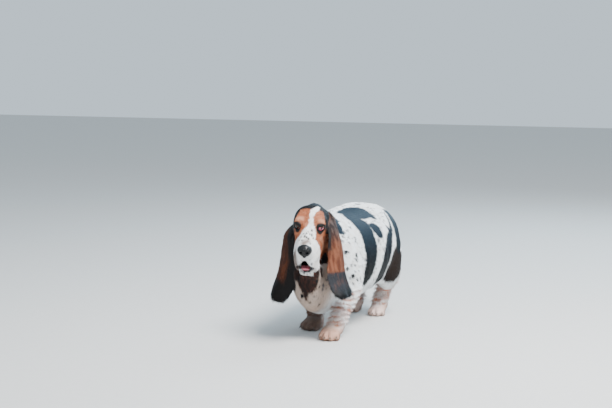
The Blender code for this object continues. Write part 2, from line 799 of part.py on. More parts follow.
COLOURS = {
    "head": (0.46, 0.25, 0.13),
    "neck": (0.74, 0.68, 0.60),
    "torso": (0.78, 0.76, 0.72),
    "ear": (0.26, 0.11, 0.05),
    "eye": (0.05, 0.025, 0.012),
    "nose": (0.02, 0.022, 0.026),
    "lower": (0.72, 0.62, 0.54),
    "tongue": (0.70, 0.30, 0.31),
    "tail": (0.74, 0.70, 0.65),
    "front": (0.76, 0.69, 0.62),
    "hind": (0.76, 0.69, 0.62),
    "paw": (0.74, 0.64, 0.56),
}


def finish(obj):
    """Its own plain material, smooth shading with the cut rims left sharp, and the origin under the dog."""
    material = bpy.data.materials.new(obj.name)
    material.use_nodes = True
    shader = material.node_tree.nodes["Principled BSDF"]
    shader.inputs["Base Color"].default_value = (*COLOURS[obj.name.split("_")[0]], 1)
    shader.inputs["Roughness"].default_value = 0.25 if obj.name[:3] in ("eye", "nos") else 0.8
    obj.data.materials.clear()
    obj.data.materials.append(material)
    obj.data.transform(Matrix.Translation(ORIGIN_SHIFT))
    obj.data.polygons.foreach_set("use_smooth", [True] * len(obj.data.polygons))
    obj.data.set_sharp_from_angle(angle=math.radians(48))


def cut_all(objects, tool, by=CUT_GAP):
    """Cuts the tool, swollen by the gap, out of each object."""
    cutter = grown(tool, by)
    for obj in objects:
        boolean(obj, cutter, "DIFFERENCE", keep=True)
    bpy.data.objects.remove(cutter)


def main():
    clear_scene()
    nodes = {}
    skull = thin(head(), 4100)
    rest = thin(body(), 5200)
    nodes["head"] = piece("head", skull, HEAD_PLANES)
    for name, planes in (("head", HEAD_PLANES), ("neck", NECK_PLANES), ("tail", TAIL_PLANES)):
        if name != "head":
            nodes[name] = piece(name, rest, planes)
        boolean(rest, region(planes), "DIFFERENCE")
    for which in LEGS:
        nodes[which + "_leg"] = piece(which + "_leg", rest, leg_planes(which, False))
        boolean(rest, region(leg_planes(which, False)), "DIFFERENCE")
        foot = thin(paw(which), 840)
        nodes["paw_" + which] = piece("paw_" + which, foot, leg_planes(which, True))
        bpy.data.objects.remove(foot)
        boolean(rest, region(leg_planes(which, True)), "DIFFERENCE")
    bpy.data.objects.remove(skull)
    rest.name = rest.data.name = "torso"
    nodes["torso"] = largest(rest)

    mouth = loft("mouth", MOUTH, frame=HEAD, around=18, along=10)
    boolean(nodes["head"], mouth, "DIFFERENCE")
    jaw = jaw_form()
    tongue = loft("tongue", TONGUE, frame=HEAD, around=12, along=8)
    nose = ellipsoid("nose", *NOSE, HEAD, rings=10)
    cut_all([nodes["head"], nodes["neck"]], jaw)
    cut_all([nodes["head"], jaw], tongue)
    cut_all([nodes["head"]], nose)
    nodes.update(lower_jaw=jaw, tongue=tongue, nose=nose)
    for side, word in ((1, "left"), (-1, "right")):
        boolean(nose, ellipsoid("nostril", mirrored(NOSTRIL[0], side), NOSTRIL[1], HEAD, rings=6), "DIFFERENCE")
        axis = eye_axis(side)
        opening = ellipsoid("opening", (0.020, 0, -0.0012), (0.022, 0.0105, 0.0090), axis, rings=10)
        boolean(nodes["head"], opening, "DIFFERENCE")
        eye = ellipsoid("eye_" + word, (0, 0, 0), (EYE_RADIUS,) * 3, axis, rings=10)
        cut_all([nodes["head"]], eye)
        nodes["eye_" + word] = eye
    for name, ear in ears().items():
        beside = [nodes[key] for key in ("head", "neck", "torso", "front_left_leg", "front_right_leg")]
        cut_all(beside, ear, 0.0007)
        nodes[name] = ear
    for name, obj in nodes.items():
        obj.name = obj.data.name = name
        largest(obj)
        if name.startswith("paw"):
            press_feet(obj)
        finish(obj)


main()
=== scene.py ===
import json
import math
from contextlib import contextmanager

import bmesh
import bpy
import numpy as np
from mathutils import Matrix, Vector
from mathutils.bvhtree import BVHTree

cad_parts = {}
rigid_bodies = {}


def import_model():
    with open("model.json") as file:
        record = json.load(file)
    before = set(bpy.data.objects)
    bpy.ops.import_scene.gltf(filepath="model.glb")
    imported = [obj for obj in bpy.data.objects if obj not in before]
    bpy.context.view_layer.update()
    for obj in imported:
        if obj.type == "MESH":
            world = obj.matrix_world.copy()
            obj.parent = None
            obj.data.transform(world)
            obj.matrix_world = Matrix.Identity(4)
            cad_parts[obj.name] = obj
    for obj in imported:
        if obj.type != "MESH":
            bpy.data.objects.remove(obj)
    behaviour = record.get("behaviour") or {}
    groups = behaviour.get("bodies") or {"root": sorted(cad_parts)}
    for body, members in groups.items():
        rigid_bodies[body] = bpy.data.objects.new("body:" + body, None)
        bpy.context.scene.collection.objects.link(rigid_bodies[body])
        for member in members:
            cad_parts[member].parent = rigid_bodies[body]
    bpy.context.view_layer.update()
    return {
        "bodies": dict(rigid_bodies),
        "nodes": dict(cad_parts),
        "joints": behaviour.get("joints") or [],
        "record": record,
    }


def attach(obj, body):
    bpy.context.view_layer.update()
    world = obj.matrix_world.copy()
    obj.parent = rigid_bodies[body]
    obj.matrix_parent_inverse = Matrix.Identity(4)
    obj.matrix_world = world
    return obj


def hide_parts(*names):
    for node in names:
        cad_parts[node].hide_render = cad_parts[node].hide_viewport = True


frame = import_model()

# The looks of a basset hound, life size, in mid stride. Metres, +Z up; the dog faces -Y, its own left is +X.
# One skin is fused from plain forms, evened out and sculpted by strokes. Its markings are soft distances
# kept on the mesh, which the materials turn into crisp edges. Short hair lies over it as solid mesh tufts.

RANDOM = np.random.default_rng(7)

# Sizes that the solids share.
BACK_HEIGHT = 0.388
CHEST_CLEARANCE = 0.072
CHEST_HALF_WIDTH = 0.110
BARREL_HALF_WIDTH = 0.128
ORIGIN_SHIFT = Vector((0.001, 0.010, 0.0))

# The head's own frame: u forward along the muzzle, v to the dog's left, w up.
# Its origin lies between the eyes.
HEAD_ORIGIN = Vector((0.028, -0.328, 0.361))
HEAD_YAW = math.radians(15.5)
HEAD_PITCH = math.radians(25.0)
HEAD_ROLL = math.radians(4.5)
EYE_SPACING = 0.068
EYE_RADIUS = 0.0112
EYE_CENTRE = Vector((-0.0072, EYE_SPACING / 2, -0.0030))
EYE_TURN = math.radians(24.0)

# The grain that each piece is fused at.
SKIN_VOXEL = 0.0023
NOSE_VOXEL = 0.0009
TONGUE_VOXEL = 0.0011
CLAW_VOXEL = 0.0007

UP = Vector((0, 0, 1))
REAR = Vector((0, 1, 0))
# The dog's sides, by the sign of X.
SIDES = {1: "left", -1: "right"}


def head_matrix():
    level = Vector((math.cos(HEAD_YAW), math.sin(HEAD_YAW), 0))
    forward = Vector(
        (
            math.sin(HEAD_YAW) * math.cos(HEAD_PITCH),
            -math.cos(HEAD_YAW) * math.cos(HEAD_PITCH),
            -math.sin(HEAD_PITCH),
        )
    )
    upright = forward.cross(level)
    up = upright * math.cos(HEAD_ROLL) + level * math.sin(HEAD_ROLL)
    left = level * math.cos(HEAD_ROLL) - upright * math.sin(HEAD_ROLL)
    matrix = Matrix.Identity(4)
    for column, axis in enumerate((forward, left, up)):
        matrix.col[column][:3] = axis
    matrix.translation = HEAD_ORIGIN
    return matrix


HEAD = head_matrix()
HEAD_ARRAY = np.array(HEAD)
HEAD_INVERSE = np.array(HEAD.inverted())


def add(name, data):
    """A new object in the scene."""
    obj = bpy.data.objects.new(name, data)
    bpy.context.scene.collection.objects.link(obj)
    return obj


@contextmanager
def editing(mesh):
    """The mesh opened for editing, and written back at the end."""
    made = bmesh.new()
    made.from_mesh(mesh)
    yield made
    made.to_mesh(mesh)
    made.free()


def new_object(name, points, faces):
    mesh = bpy.data.meshes.new(name)
    mesh.from_pydata([tuple(p) for p in points], [], faces)
    with editing(mesh) as made:
        bmesh.ops.recalc_face_normals(made, faces=made.faces)
    return add(name, mesh)


def smooth_rows(rows, count):
    """Rows of numbers joined by a smooth curve and read at even steps of its first three columns."""
    rows = np.array(rows, float)
    step = np.linalg.norm(np.diff(rows[:, :3], axis=0), axis=1)
    at = np.concatenate([[0], np.cumsum(step)])
    slope = np.gradient(rows, at, axis=0)
    where = np.linspace(0, at[-1], count)
    i = np.clip(np.searchsorted(at, where, side="right") - 1, 0, len(at) - 2)
    span = (at[i + 1] - at[i])[:, None]
    t = (where - at[i])[:, None] / span
    return (
        rows[i] * (1 + 2 * t) * (1 - t) ** 2
        + slope[i] * span * t * (1 - t) ** 2
        + rows[i + 1] * t * t * (3 - 2 * t)
        + slope[i + 1] * span * t * t * (t - 1)
    )


def ring(centre, side, up, half, above, below, power_up, power_down, around):
    """A cross-section, from its half width, its reach above and below, and the squareness of each."""
    points = []
    for k in range(around):
        angle = 2 * math.pi * k / around
        c, s = math.cos(angle), math.sin(angle)
        power = 2 / (power_up if s >= 0 else power_down)
        reach = above if s >= 0 else below
        points.append(
            centre
            + side * (half * math.copysign(abs(c) ** power, c))
            + up * (reach * math.copysign(abs(s) ** power, s))
        )
    return points


# Each end of a loft is rounded by this many shrinking rings, and closed by a small flat face.
CAP_STEPS = 4
CAP_BLUNTNESS = 0.35


def loft(name, stations, up_hint=UP, frame=None, around=28, along=20, caps=(0.6, 0.6)):
    """A closed body through stations (x, y, z, half width, reach above and below, squareness of each)."""
    rows = smooth_rows(stations, along)
    tangents = np.gradient(rows[:, :3], axis=0)
    rings = []
    for row, tangent in zip(rows, tangents):
        tangent = Vector(tangent).normalized()
        side = up_hint.cross(tangent).normalized()
        up = tangent.cross(side)
        rings.append((Vector(row[:3]), tangent, side, up, row[3:]))
    listed = []
    for end, share in ((0, caps[0]), (-1, caps[1])):
        centre, tangent, side, up, sizes = rings[end]
        outward = -tangent if end == 0 else tangent
        length = share * min(sizes[0], (sizes[1] + sizes[2]) / 2)
        capped = []
        for k in range(1, CAP_STEPS + 1):
            angle = math.pi / 2 * k / (CAP_STEPS + CAP_BLUNTNESS)
            shrink = math.cos(angle)
            place = centre + outward * (length * math.sin(angle))
            shrunk = (*(value * shrink for value in sizes[:3]), sizes[3], sizes[4])
            capped.append((place, tangent, side, up, shrunk))
        listed.append(capped)
    rings = listed[0][::-1] + rings + listed[1]
    points = []
    for centre, _, side, up, sizes in rings:
        points += ring(centre, side, up, *sizes, around)
    faces = []
    for r in range(len(rings) - 1):
        for k in range(around):
            n = (k + 1) % around
            a, b = r * around, (r + 1) * around
            faces.append((a + k, a + n, b + n, b + k))
    faces.append(tuple(range(around)))
    last = (len(rings) - 1) * around
    faces.append(tuple(last + k for k in range(around)))
    if frame is not None:
        points = [frame @ p for p in points]
    return new_object(name, points, faces)


def limb(name, stations, **more):
    """A loft down a limb: each station gives the half width and the reach to the rear and to the front."""
    return loft(name, [(*row, 2.1, 2.1) for row in stations], up_hint=REAR, **more)


def ellipsoid(name, centre, radii, frame=Matrix(), turn=Matrix(), rings=28):
    mesh = bpy.data.meshes.new(name)
    with editing(mesh) as made:
        bmesh.ops.create_uvsphere(made, u_segments=rings * 2, v_segments=rings, radius=1)
        made.transform(frame @ (Matrix.Translation(centre) @ turn @ Matrix.Diagonal((*radii, 1))))
    return add(name, mesh)


def apply_modifiers(obj):
    graph = bpy.context.evaluated_depsgraph_get()
    mesh = bpy.data.meshes.new_from_object(obj.evaluated_get(graph))
    obj.modifiers.clear()
    old = obj.data
    obj.data = mesh
    bpy.data.meshes.remove(old)
    return obj


def fuse(name, pieces, voxel):
    """One closed skin round all the pieces, which are removed."""
    points, faces = [], []
    for piece in pieces:
        first = len(points)
        points += [piece.matrix_world @ v.co for v in piece.data.vertices]
        faces += [tuple(first + i for i in p.vertices) for p in piece.data.polygons]
        bpy.data.objects.remove(piece)
    mesh = bpy.data.meshes.new(name)
    mesh.from_pydata(points, [], faces)
    obj = add(name, mesh)
    remesh = obj.modifiers.new("fuse", "REMESH")
    remesh.mode = "VOXEL"
    remesh.voxel_size = voxel
    remesh.adaptivity = 0
    return apply_modifiers(obj)


def fetch(items, key, width=1, kind=float):
    """One property of all the items of a mesh, with that many numbers for each."""
    values = np.empty(len(items) * width, kind)
    items.foreach_get(key, values)
    return values.reshape(-1, width) if width > 1 else values


def read_points(obj):
    return fetch(obj.data.vertices, "co", 3)


def write_points(obj, co):
    obj.data.vertices.foreach_set("co", co.astype(np.float32).ravel())
    obj.data.update()


def read_normals(obj):
    return fetch(obj.data.vertex_normals, "vector", 3)


def relax(obj, rounds, strength=0.5, restore=0.0, where=None):
    """Evens out the skin. restore above 0 swells it back after each round, so thin forms keep their size."""
    edges = fetch(obj.data.edges, "vertices", 2, np.int64)
    ends = np.concatenate([edges[:, 0], edges[:, 1]])
    others = np.concatenate([edges[:, 1], edges[:, 0]])
    co = read_points(obj)
    share = np.ones(len(co)) if where is None else where(co)
    count = np.maximum(np.bincount(ends, minlength=len(co)), 1)
    for _ in range(rounds):
        for amount in (strength, -restore):
            if amount == 0:
                continue
            total = [np.bincount(ends, co[others, axis], len(co)) for axis in range(3)]
            mean = np.stack(total, axis=1) / count[:, None]
            co = co + (mean - co) * (amount * share)[:, None]
    write_points(obj, co)


def in_box(co, points, margin):
    """Which of co lie in the box of the points, with that margin round it."""
    return np.nonzero(((co > points.min(0) - margin) & (co < points.max(0) + margin)).all(1))[0]


def near_path(co, path):
    """Distance from each point to a line through the path's points."""
    best = np.full(len(co), np.inf)
    for a, b in zip(path[:-1], path[1:]):
        a, b = np.array(a, float), np.array(b, float)
        run = b - a
        t = np.clip((co - a) @ run / max(run @ run, 1e-12), 0, 1)
        best = np.minimum(best, np.linalg.norm(co - (a + t[:, None] * run), axis=1))
    return best


def stroke(obj, path, radius, height, frame=None):
    """Raises the skin, or with a height below 0 presses it in, along a line with a soft edge."""
    if frame is not None:
        path = [frame @ Vector(p) for p in path]
    path = np.array([tuple(p) for p in path])
    co = read_points(obj)
    inside = in_box(co, path, radius)
    if not len(inside):
        return
    fall = np.clip(1 - (near_path(co[inside], path) / radius) ** 2, 0, 1) ** 2
    co[inside] += read_normals(obj)[inside] * (height * fall)[:, None]
    write_points(obj, co)


def stroke_sides(obj, strokes, frame=None):
    """Strokes given as path, reach and height, on both sides of the dog."""
    for path, reach, height in strokes:
        for side in SIDES:
            stroke(obj, [mirrored(p, side) for p in path], reach, height, frame)


def cut_away(obj, other):
    cut = obj.modifiers.new("cut", "BOOLEAN")
    cut.operation = "DIFFERENCE"
    cut.object = other
    cut.solver = "MANIFOLD"
    apply_modifiers(obj)
    bpy.data.objects.remove(other)


# The dog's forms. Torso stations: place along the body, top, bottom, half width, and squareness of the keel.
WIDEST_AT = 0.47
TORSO = (
    (-0.285, 0.300, 0.165, 0.040, 2.0),
    (-0.262, 0.335, 0.112, 0.060, 1.9),
    (-0.205, 0.366, CHEST_CLEARANCE, 0.084, 1.8),
    (-0.110, 0.378, 0.074, CHEST_HALF_WIDTH, 1.85),
    (-0.010, 0.380, 0.083, 0.124, 2.0),
    (0.085, BACK_HEIGHT, 0.094, BARREL_HALF_WIDTH, 2.1),
    (0.175, BACK_HEIGHT, 0.112, 0.124, 2.1),
    (0.250, 0.378, 0.150, 0.108, 2.1),
    (0.300, 0.355, 0.190, 0.084, 2.1),
)


def torso_form():
    stations = []
    for y, top, bottom, half, keel in TORSO:
        middle = bottom + (top - bottom) * WIDEST_AT
        stations.append((0, y, middle, half, top - middle, middle - bottom, 2.2, keel))
    return loft("torso", stations, around=40, along=36, caps=(0.5, 0.5))


NECK = (
    (0.000, -0.090, 0.275, 0.092, 0.098, 0.120, 2.1, 2.0),
    (0.000, -0.150, 0.295, 0.084, 0.090, 0.130, 2.1, 1.9),
    (0.003, -0.200, 0.318, 0.070, 0.078, 0.118, 2.1, 1.8),
    (0.010, -0.240, 0.338, 0.058, 0.062, 0.098, 2.1, 1.8),
    (0.016, -0.268, 0.346, 0.050, 0.050, 0.080, 2.1, 1.8),
)
DEWLAP = (
    (0.036, -0.345, 0.258, 0.022, 0.026, 0.018),
    (0.031, -0.330, 0.232, 0.027, 0.044, 0.019),
    (0.020, -0.308, 0.195, 0.032, 0.058, 0.022),
    (0.009, -0.284, 0.152, 0.036, 0.060, 0.026),
    (0.002, -0.255, 0.112, 0.034, 0.050, 0.024),
)


def neck_forms():
    return [
        loft("neck", NECK, around=36, along=20),
        limb("dewlap", DEWLAP, around=28, along=20),
    ]


# Head forms, in the head's frame.
SKULL = (
    (-0.126, 0, -0.026, 0.038, 0.030, 0.040, 2.1, 2.0),
    (-0.100, 0, -0.030, 0.0530, 0.049, 0.048, 2.2, 2.0),
    (-0.060, 0, -0.030, 0.0575, 0.055, 0.050, 2.3, 2.0),
    (-0.028, 0, -0.030, 0.0530, 0.051, 0.048, 2.4, 2.1),
    (-0.008, 0, -0.030, 0.0450, 0.043, 0.044, 2.4, 2.2),
    (0.012, 0, -0.034, 0.0350, 0.039, 0.040, 2.0, 2.2),
    (0.040, 0, -0.036, 0.0325, 0.035, 0.036, 1.9, 2.3),
    (0.070, 0, -0.036, 0.0305, 0.0315, 0.034, 1.9, 2.3),
    (0.095, 0, -0.035, 0.0265, 0.0265, 0.028, 2.0, 2.3),
)
OCCIPUT = ((-0.132, 0, -0.014), (0.021, 0.017, 0.016))
# Lumps on both sides of the head: centre and radii.
HEAD_LUMPS = {
    "brow": ((-0.026, 0.0310, 0.0050), (0.034, 0.021, 0.0140)),
    "lids": ((-0.0090, 0.0340, -0.0035), (0.0152, 0.0152, 0.0152)),
    "temple": ((-0.032, 0.0375, -0.012), (0.034, 0.0165, 0.028)),
    "under_eye": ((-0.012, 0.0320, -0.032), (0.034, 0.0145, 0.024)),
    "cheek": ((-0.050, 0.038, -0.030), (0.048, 0.017, 0.034)),
    "jowl": ((-0.050, 0.033, -0.078), (0.046, 0.021, 0.036)),
    "lip": ((0.089, 0.0115, -0.048), (0.0145, 0.0125, 0.021)),
}
FLEW = (
    (-0.045, 0.034, -0.064, 0.010, 0.026, 0.030, 2, 2),
    (-0.012, 0.0325, -0.066, 0.0110, 0.036, 0.042, 2, 2),
    (0.022, 0.0295, -0.068, 0.0120, 0.042, 0.043, 2, 2),
    (0.050, 0.0270, -0.068, 0.0125, 0.040, 0.045, 2, 2),
    (0.072, 0.0240, -0.066, 0.0120, 0.036, 0.046, 2, 2),
    (0.088, 0.0170, -0.058, 0.0110, 0.030, 0.034, 2, 2),
)
# The lower jaw hangs open.
JAW = (
    (-0.080, 0, -0.068, 0.034, 0.022, 0.024, 2.2, 2.0),
    (-0.030, 0, -0.088, 0.030, 0.014, 0.022, 2.2, 2.0),
    (0.020, 0, -0.106, 0.0245, 0.009, 0.018, 2.4, 2.0),
    (0.056, 0, -0.1165, 0.0210, 0.0075, 0.0115, 2.6, 2.0),
    (0.080, 0, -0.1198, 0.0185, 0.0066, 0.0085, 2.6, 2.0),
)
MOUTH = (
    (-0.020, 0, -0.084, 0.014, 0.010, 0.013, 2.2, 2.2),
    (0.030, 0, -0.090, 0.0200, 0.017, 0.016, 2.0, 2.2),
    (0.070, 0, -0.095, 0.0258, 0.026, 0.018, 1.5, 2.2),
    (0.110, 0, -0.099, 0.0270, 0.030, 0.015, 1.5, 2.2),
    (0.140, 0, -0.102, 0.0270, 0.025, 0.013, 1.5, 2.2),
)
TONGUE = (
    (0.000, 0, -0.098, 0.0120, 0.0050, 0.0050, 2, 2),
    (0.030, 0, -0.1020, 0.0150, 0.0060, 0.0050, 2, 2),
    (0.056, 0, -0.1060, 0.0155, 0.0065, 0.0050, 2, 2),
    (0.073, 0, -0.1090, 0.0125, 0.0055, 0.0045, 2, 2),
)
NOSE = ((0.1010, 0, -0.0225), (0.0165, 0.0210, 0.0195))
NOSTRIL = ((0.1150, 0.0095, -0.0220), (0.0095, 0.0036, 0.0050))


def mirrored(row, side):
    return (row[0], row[1] * side, *row[2:])


def upper_head_forms():
    forms = [
        loft("skull", SKULL, frame=HEAD, around=36, along=32),
        ellipsoid("occiput", *OCCIPUT, HEAD),
    ]
    for side in SIDES:
        for name, (centre, radii) in HEAD_LUMPS.items():
            forms.append(ellipsoid(name, mirrored(centre, side), radii, HEAD))
        forms.append(loft("flew", [mirrored(row, side) for row in FLEW], frame=HEAD, around=24))
    return forms


def jaw_form():
    return loft("lower_jaw", JAW, frame=HEAD, around=22, along=12)


# Legs, each from the shoulder or hip to the pastern: place, half width, reach to the rear and to the front.
FORE_LEFT = (
    (0.062, -0.150, 0.290, 0.038, 0.060, 0.055),
    (0.078, -0.140, 0.215, 0.040, 0.062, 0.056),
    (0.088, -0.140, 0.160, 0.036, 0.048, 0.044),
    (0.083, -0.166, 0.116, 0.033, 0.036, 0.035),
    (0.078, -0.194, 0.082, 0.029, 0.030, 0.030),
    (0.074, -0.210, 0.052, 0.0275, 0.029, 0.028),
    (0.068, -0.222, 0.028, 0.028, 0.028, 0.028),
)
FORE_RIGHT = (
    (-0.060, -0.150, 0.290, 0.036, 0.060, 0.055),
    (-0.070, -0.125, 0.215, 0.038, 0.060, 0.060),
    (-0.076, -0.102, 0.160, 0.035, 0.046, 0.048),
    (-0.070, -0.094, 0.116, 0.032, 0.035, 0.036),
    (-0.062, -0.088, 0.082, 0.029, 0.030, 0.030),
    (-0.057, -0.087, 0.052, 0.0275, 0.029, 0.028),
    (-0.053, -0.094, 0.028, 0.028, 0.027, 0.028),
)
HIND_LEFT = (
    (0.058, 0.205, 0.285, 0.052, 0.084, 0.085),
    (0.074, 0.192, 0.220, 0.051, 0.088, 0.085),
    (0.083, 0.188, 0.168, 0.045, 0.078, 0.066),
    (0.078, 0.216, 0.132, 0.040, 0.053, 0.048),
    (0.061, 0.238, 0.098, 0.029, 0.032, 0.031),
    (0.050, 0.234, 0.062, 0.0265, 0.026, 0.027),
    (0.046, 0.226, 0.030, 0.028, 0.027, 0.030),
)
HIND_RIGHT = (
    (-0.058, 0.210, 0.285, 0.052, 0.084, 0.085),
    (-0.074, 0.204, 0.220, 0.051, 0.088, 0.085),
    (-0.083, 0.208, 0.168, 0.045, 0.078, 0.066),
    (-0.078, 0.242, 0.132, 0.040, 0.053, 0.048),
    (-0.065, 0.276, 0.100, 0.028, 0.032, 0.031),
    (-0.060, 0.274, 0.062, 0.0265, 0.026, 0.027),
    (-0.057, 0.262, 0.030, 0.028, 0.027, 0.030),
)
LEGS = {
    "front_left": FORE_LEFT,
    "front_right": FORE_RIGHT,
    "hind_left": HIND_LEFT,
    "hind_right": HIND_RIGHT,
}
# Each paw: its middle on the floor, its heading in degrees towards the dog's left, and its size as a share.
PAWS = {
    "front_left": ((0.064, -0.240), 8, 0.94),
    "front_right": ((-0.053, -0.112), -10, 0.94),
    "hind_left": ((0.047, 0.206), 6, 0.84),
    "hind_right": ((-0.057, 0.242), -8, 0.84),
}
# Each toe: its place across and ahead in the paw, and its size as a share. The toes spread outward.
TOES = ((-0.0255, 0.018, 0.90), (-0.0088, 0.0295, 1.0), (0.0088, 0.0295, 1.0), (0.0255, 0.018, 0.90))
TOE_RADII = (0.0118, 0.0215, 0.0175)
TOE_SPREAD = 7.5
CLAW_LENGTH = 0.013
CLAW_RADIUS = 0.0034


def paw_matrix(which):
    (x, y), heading, size = PAWS[which]
    turn = Matrix.Rotation(math.radians(heading), 4, "Z")
    # Local +Y is the way the paw points, which is -Y for the dog.
    face = Matrix.Rotation(math.pi, 4, "Z")
    return Matrix.Translation((x, y, 0)) @ turn @ face @ Matrix.Scale(size, 4)


def paw_forms(which):
    frame = paw_matrix(which)
    made = [
        ellipsoid("instep", (0, -0.006, 0.025), (0.032, 0.038, 0.024), frame),
        ellipsoid("heel", (0, -0.020, 0.012), (0.026, 0.020, 0.015), frame),
    ]
    for side, ahead, share in TOES:
        splay = Matrix.Rotation(-side * TOE_SPREAD, 4, "Z")
        radii = tuple(r * share for r in TOE_RADII)
        made.append(ellipsoid("toe", (side, ahead, 0.0145 * share), radii, frame, splay))
        knuckle = (side * 0.86, ahead - 0.016, 0.0235)
        made.append(ellipsoid("knuckle", knuckle, (0.0105, 0.020, 0.014), frame, splay))
    return made


def claw_forms(which):
    """A short blunt claw on each toe, curving down to the floor."""
    frame = paw_matrix(which)
    made = []
    for side, ahead, share in TOES:
        root = Vector((side * 1.04, ahead + 0.0155 * share, 0.0135))
        away = Vector((side * TOE_SPREAD, 1, 0)).normalized()
        stations = []
        for k in range(4):
            t = k / 3
            place = root + away * (CLAW_LENGTH * t) - UP * (0.0085 * t * t)
            r = CLAW_RADIUS * (1 - 0.72 * t)
            stations.append((*place, r * 0.85, r, r, 2, 2))
        made.append(loft("claw", stations, frame=frame, around=10, along=6))
    return made


TAIL = (
    (0.000, 0.275, 0.340, 0.030, 0.030, 0.030),
    (0.000, 0.328, 0.328, 0.023, 0.023, 0.023),
    (0.003, 0.362, 0.280, 0.017, 0.018, 0.018),
    (0.006, 0.374, 0.220, 0.0145, 0.015, 0.015),
    (0.008, 0.384, 0.160, 0.0115, 0.012, 0.012),
    (0.008, 0.400, 0.112, 0.0070, 0.0075, 0.0075),
)


def tail_form():
    return loft("tail", [(*row, 2, 2) for row in TAIL], up_hint=REAR, along=26)


# Ears: a centre line from the root down to the tip, the width there, how far the edges curl inward, the
# heading of the leather from its front edge to its rear one, and how steeply that rises, in degrees.
EAR_LEFT = (
    (0.038, -0.240, 0.388, 0.048, 0.00, 15, 40),
    (0.058, -0.247, 0.374, 0.054, 0.06, 12, 30),
    (0.080, -0.254, 0.342, 0.068, 0.14, 4, 12),
    (0.092, -0.257, 0.300, 0.089, 0.20, -4, 0),
    (0.098, -0.261, 0.250, 0.095, 0.20, -8, 0),
    (0.101, -0.265, 0.212, 0.101, 0.20, -10, 0),
    (0.107, -0.266, 0.186, 0.102, 0.18, -10, 0),
    (0.116, -0.267, 0.166, 0.092, 0.16, -10, 0),
    (0.124, -0.267, 0.152, 0.070, 0.12, -10, 0),
    (0.127, -0.267, 0.146, 0.050, 0.12, -10, 0),
)
EAR_RIGHT = (
    (-0.032, -0.256, 0.358, 0.048, 0.00, 16, 10),
    (-0.052, -0.266, 0.349, 0.062, 0.04, 26, 8),
    (-0.066, -0.275, 0.326, 0.082, 0.12, 42, 4),
    (-0.066, -0.280, 0.288, 0.094, 0.18, 54, 0),
    (-0.066, -0.282, 0.240, 0.100, 0.18, 60, 0),
    (-0.072, -0.284, 0.205, 0.099, 0.18, 62, 0),
    (-0.084, -0.286, 0.173, 0.098, 0.18, 62, 0),
    (-0.097, -0.288, 0.147, 0.085, 0.16, 62, 0),
    (-0.103, -0.290, 0.132, 0.062, 0.14, 62, 0),
    (-0.105, -0.290, 0.124, 0.036, 0.12, 62, 0),
)
EAR_THICKNESS = 0.0058
EAR_EDGE = 0.40
EAR_WAVE = 0.006
EAR_WAVES = 3.2


def ear_sheet(rows, side, across, along):
    """The middle of the leather from root to tip and front to rear, its outward side, and its places."""
    rows = smooth_rows(rows, along)
    tangents = np.gradient(rows[:, :3], axis=0)
    sheet, outward, places = [], [], []
    for k, (row, tangent) in enumerate(zip(rows, tangents)):
        centre, width, curl = Vector(row[:3]), row[3], row[4]
        turn, rise = math.radians(row[5]), math.radians(row[6])
        t = k / (along - 1)
        tangent = Vector(tangent).normalized()
        level = math.cos(rise)
        back = Vector((-math.sin(turn) * level, math.cos(turn) * level, math.sin(rise)))
        back = (back - tangent * back.dot(tangent)).normalized()
        out = tangent.cross(back) * side
        for j in range(across + 1):
            s = 2 * j / across - 1
            drop = curl * width * 0.5 * s * s
            wave = EAR_WAVE * t * t * math.sin(EAR_WAVES * s + 1.2 * side + 2.2 * t)
            sheet.append(centre + back * (s * width / 2) + out * (wave - drop))
            outward.append(out)
            places.append((t, s))
    shape = (along, across + 1)
    return (
        np.array(sheet).reshape(*shape, 3),
        np.array(outward).reshape(*shape, 3),
        np.array(places).reshape(*shape, 2),
    )


def ear_form(name, rows, side, across=10, along=22):
    """A soft leather: a curved sheet with both faces offset from it, closed by its rim."""
    sheet, outward, places = ear_sheet(rows, side, across, along)
    thick = EAR_THICKNESS / 2 * np.sqrt(np.maximum(EAR_EDGE, 1 - places[..., 1] ** 4))[..., None]
    outer = (sheet + outward * thick).reshape(-1, 3)
    inner = (sheet - outward * thick).reshape(-1, 3)
    row_size = across + 1
    base = len(outer)
    points = [Vector(p) for p in np.concatenate([outer, inner])]
    faces = []
    for r in range(along - 1):
        for j in range(across):
            a, b = r * row_size + j, (r + 1) * row_size + j
            faces.append((a, a + 1, b + 1, b))
            faces.append((base + a, base + b, base + b + 1, base + a + 1))
        for j in (0, across):
            a, b = r * row_size + j, (r + 1) * row_size + j
            faces.append((a, b, base + b, base + a))
    for r in (0, along - 1):
        for j in range(across):
            a = r * row_size + j
            faces.append((a, a + 1, base + a + 1, base + a))
    return new_object(name, points, faces)


# Shaping of the skin, which lies inside the solids by the depth of the coat.
COAT_DEPTH = 0.0012
EARS = {1: EAR_LEFT, -1: EAR_RIGHT}
EAR_MARGIN = 0.02
POINTS_AT_ONCE = 4000


def in_head(co):
    """Points in the head's frame, as columns u, v, w."""
    return co @ HEAD_INVERSE[:3, :3].T + HEAD_INVERSE[:3, 3]


def fade(value, start, length):
    """1 up to the start, falling evenly to 0 over the length."""
    return np.clip(1 - (value - start) / length, 0, 1)


def soft_step(value, low, high):
    t = np.clip((value - low) / (high - low), 0, 1)
    return t * t * (3 - 2 * t)


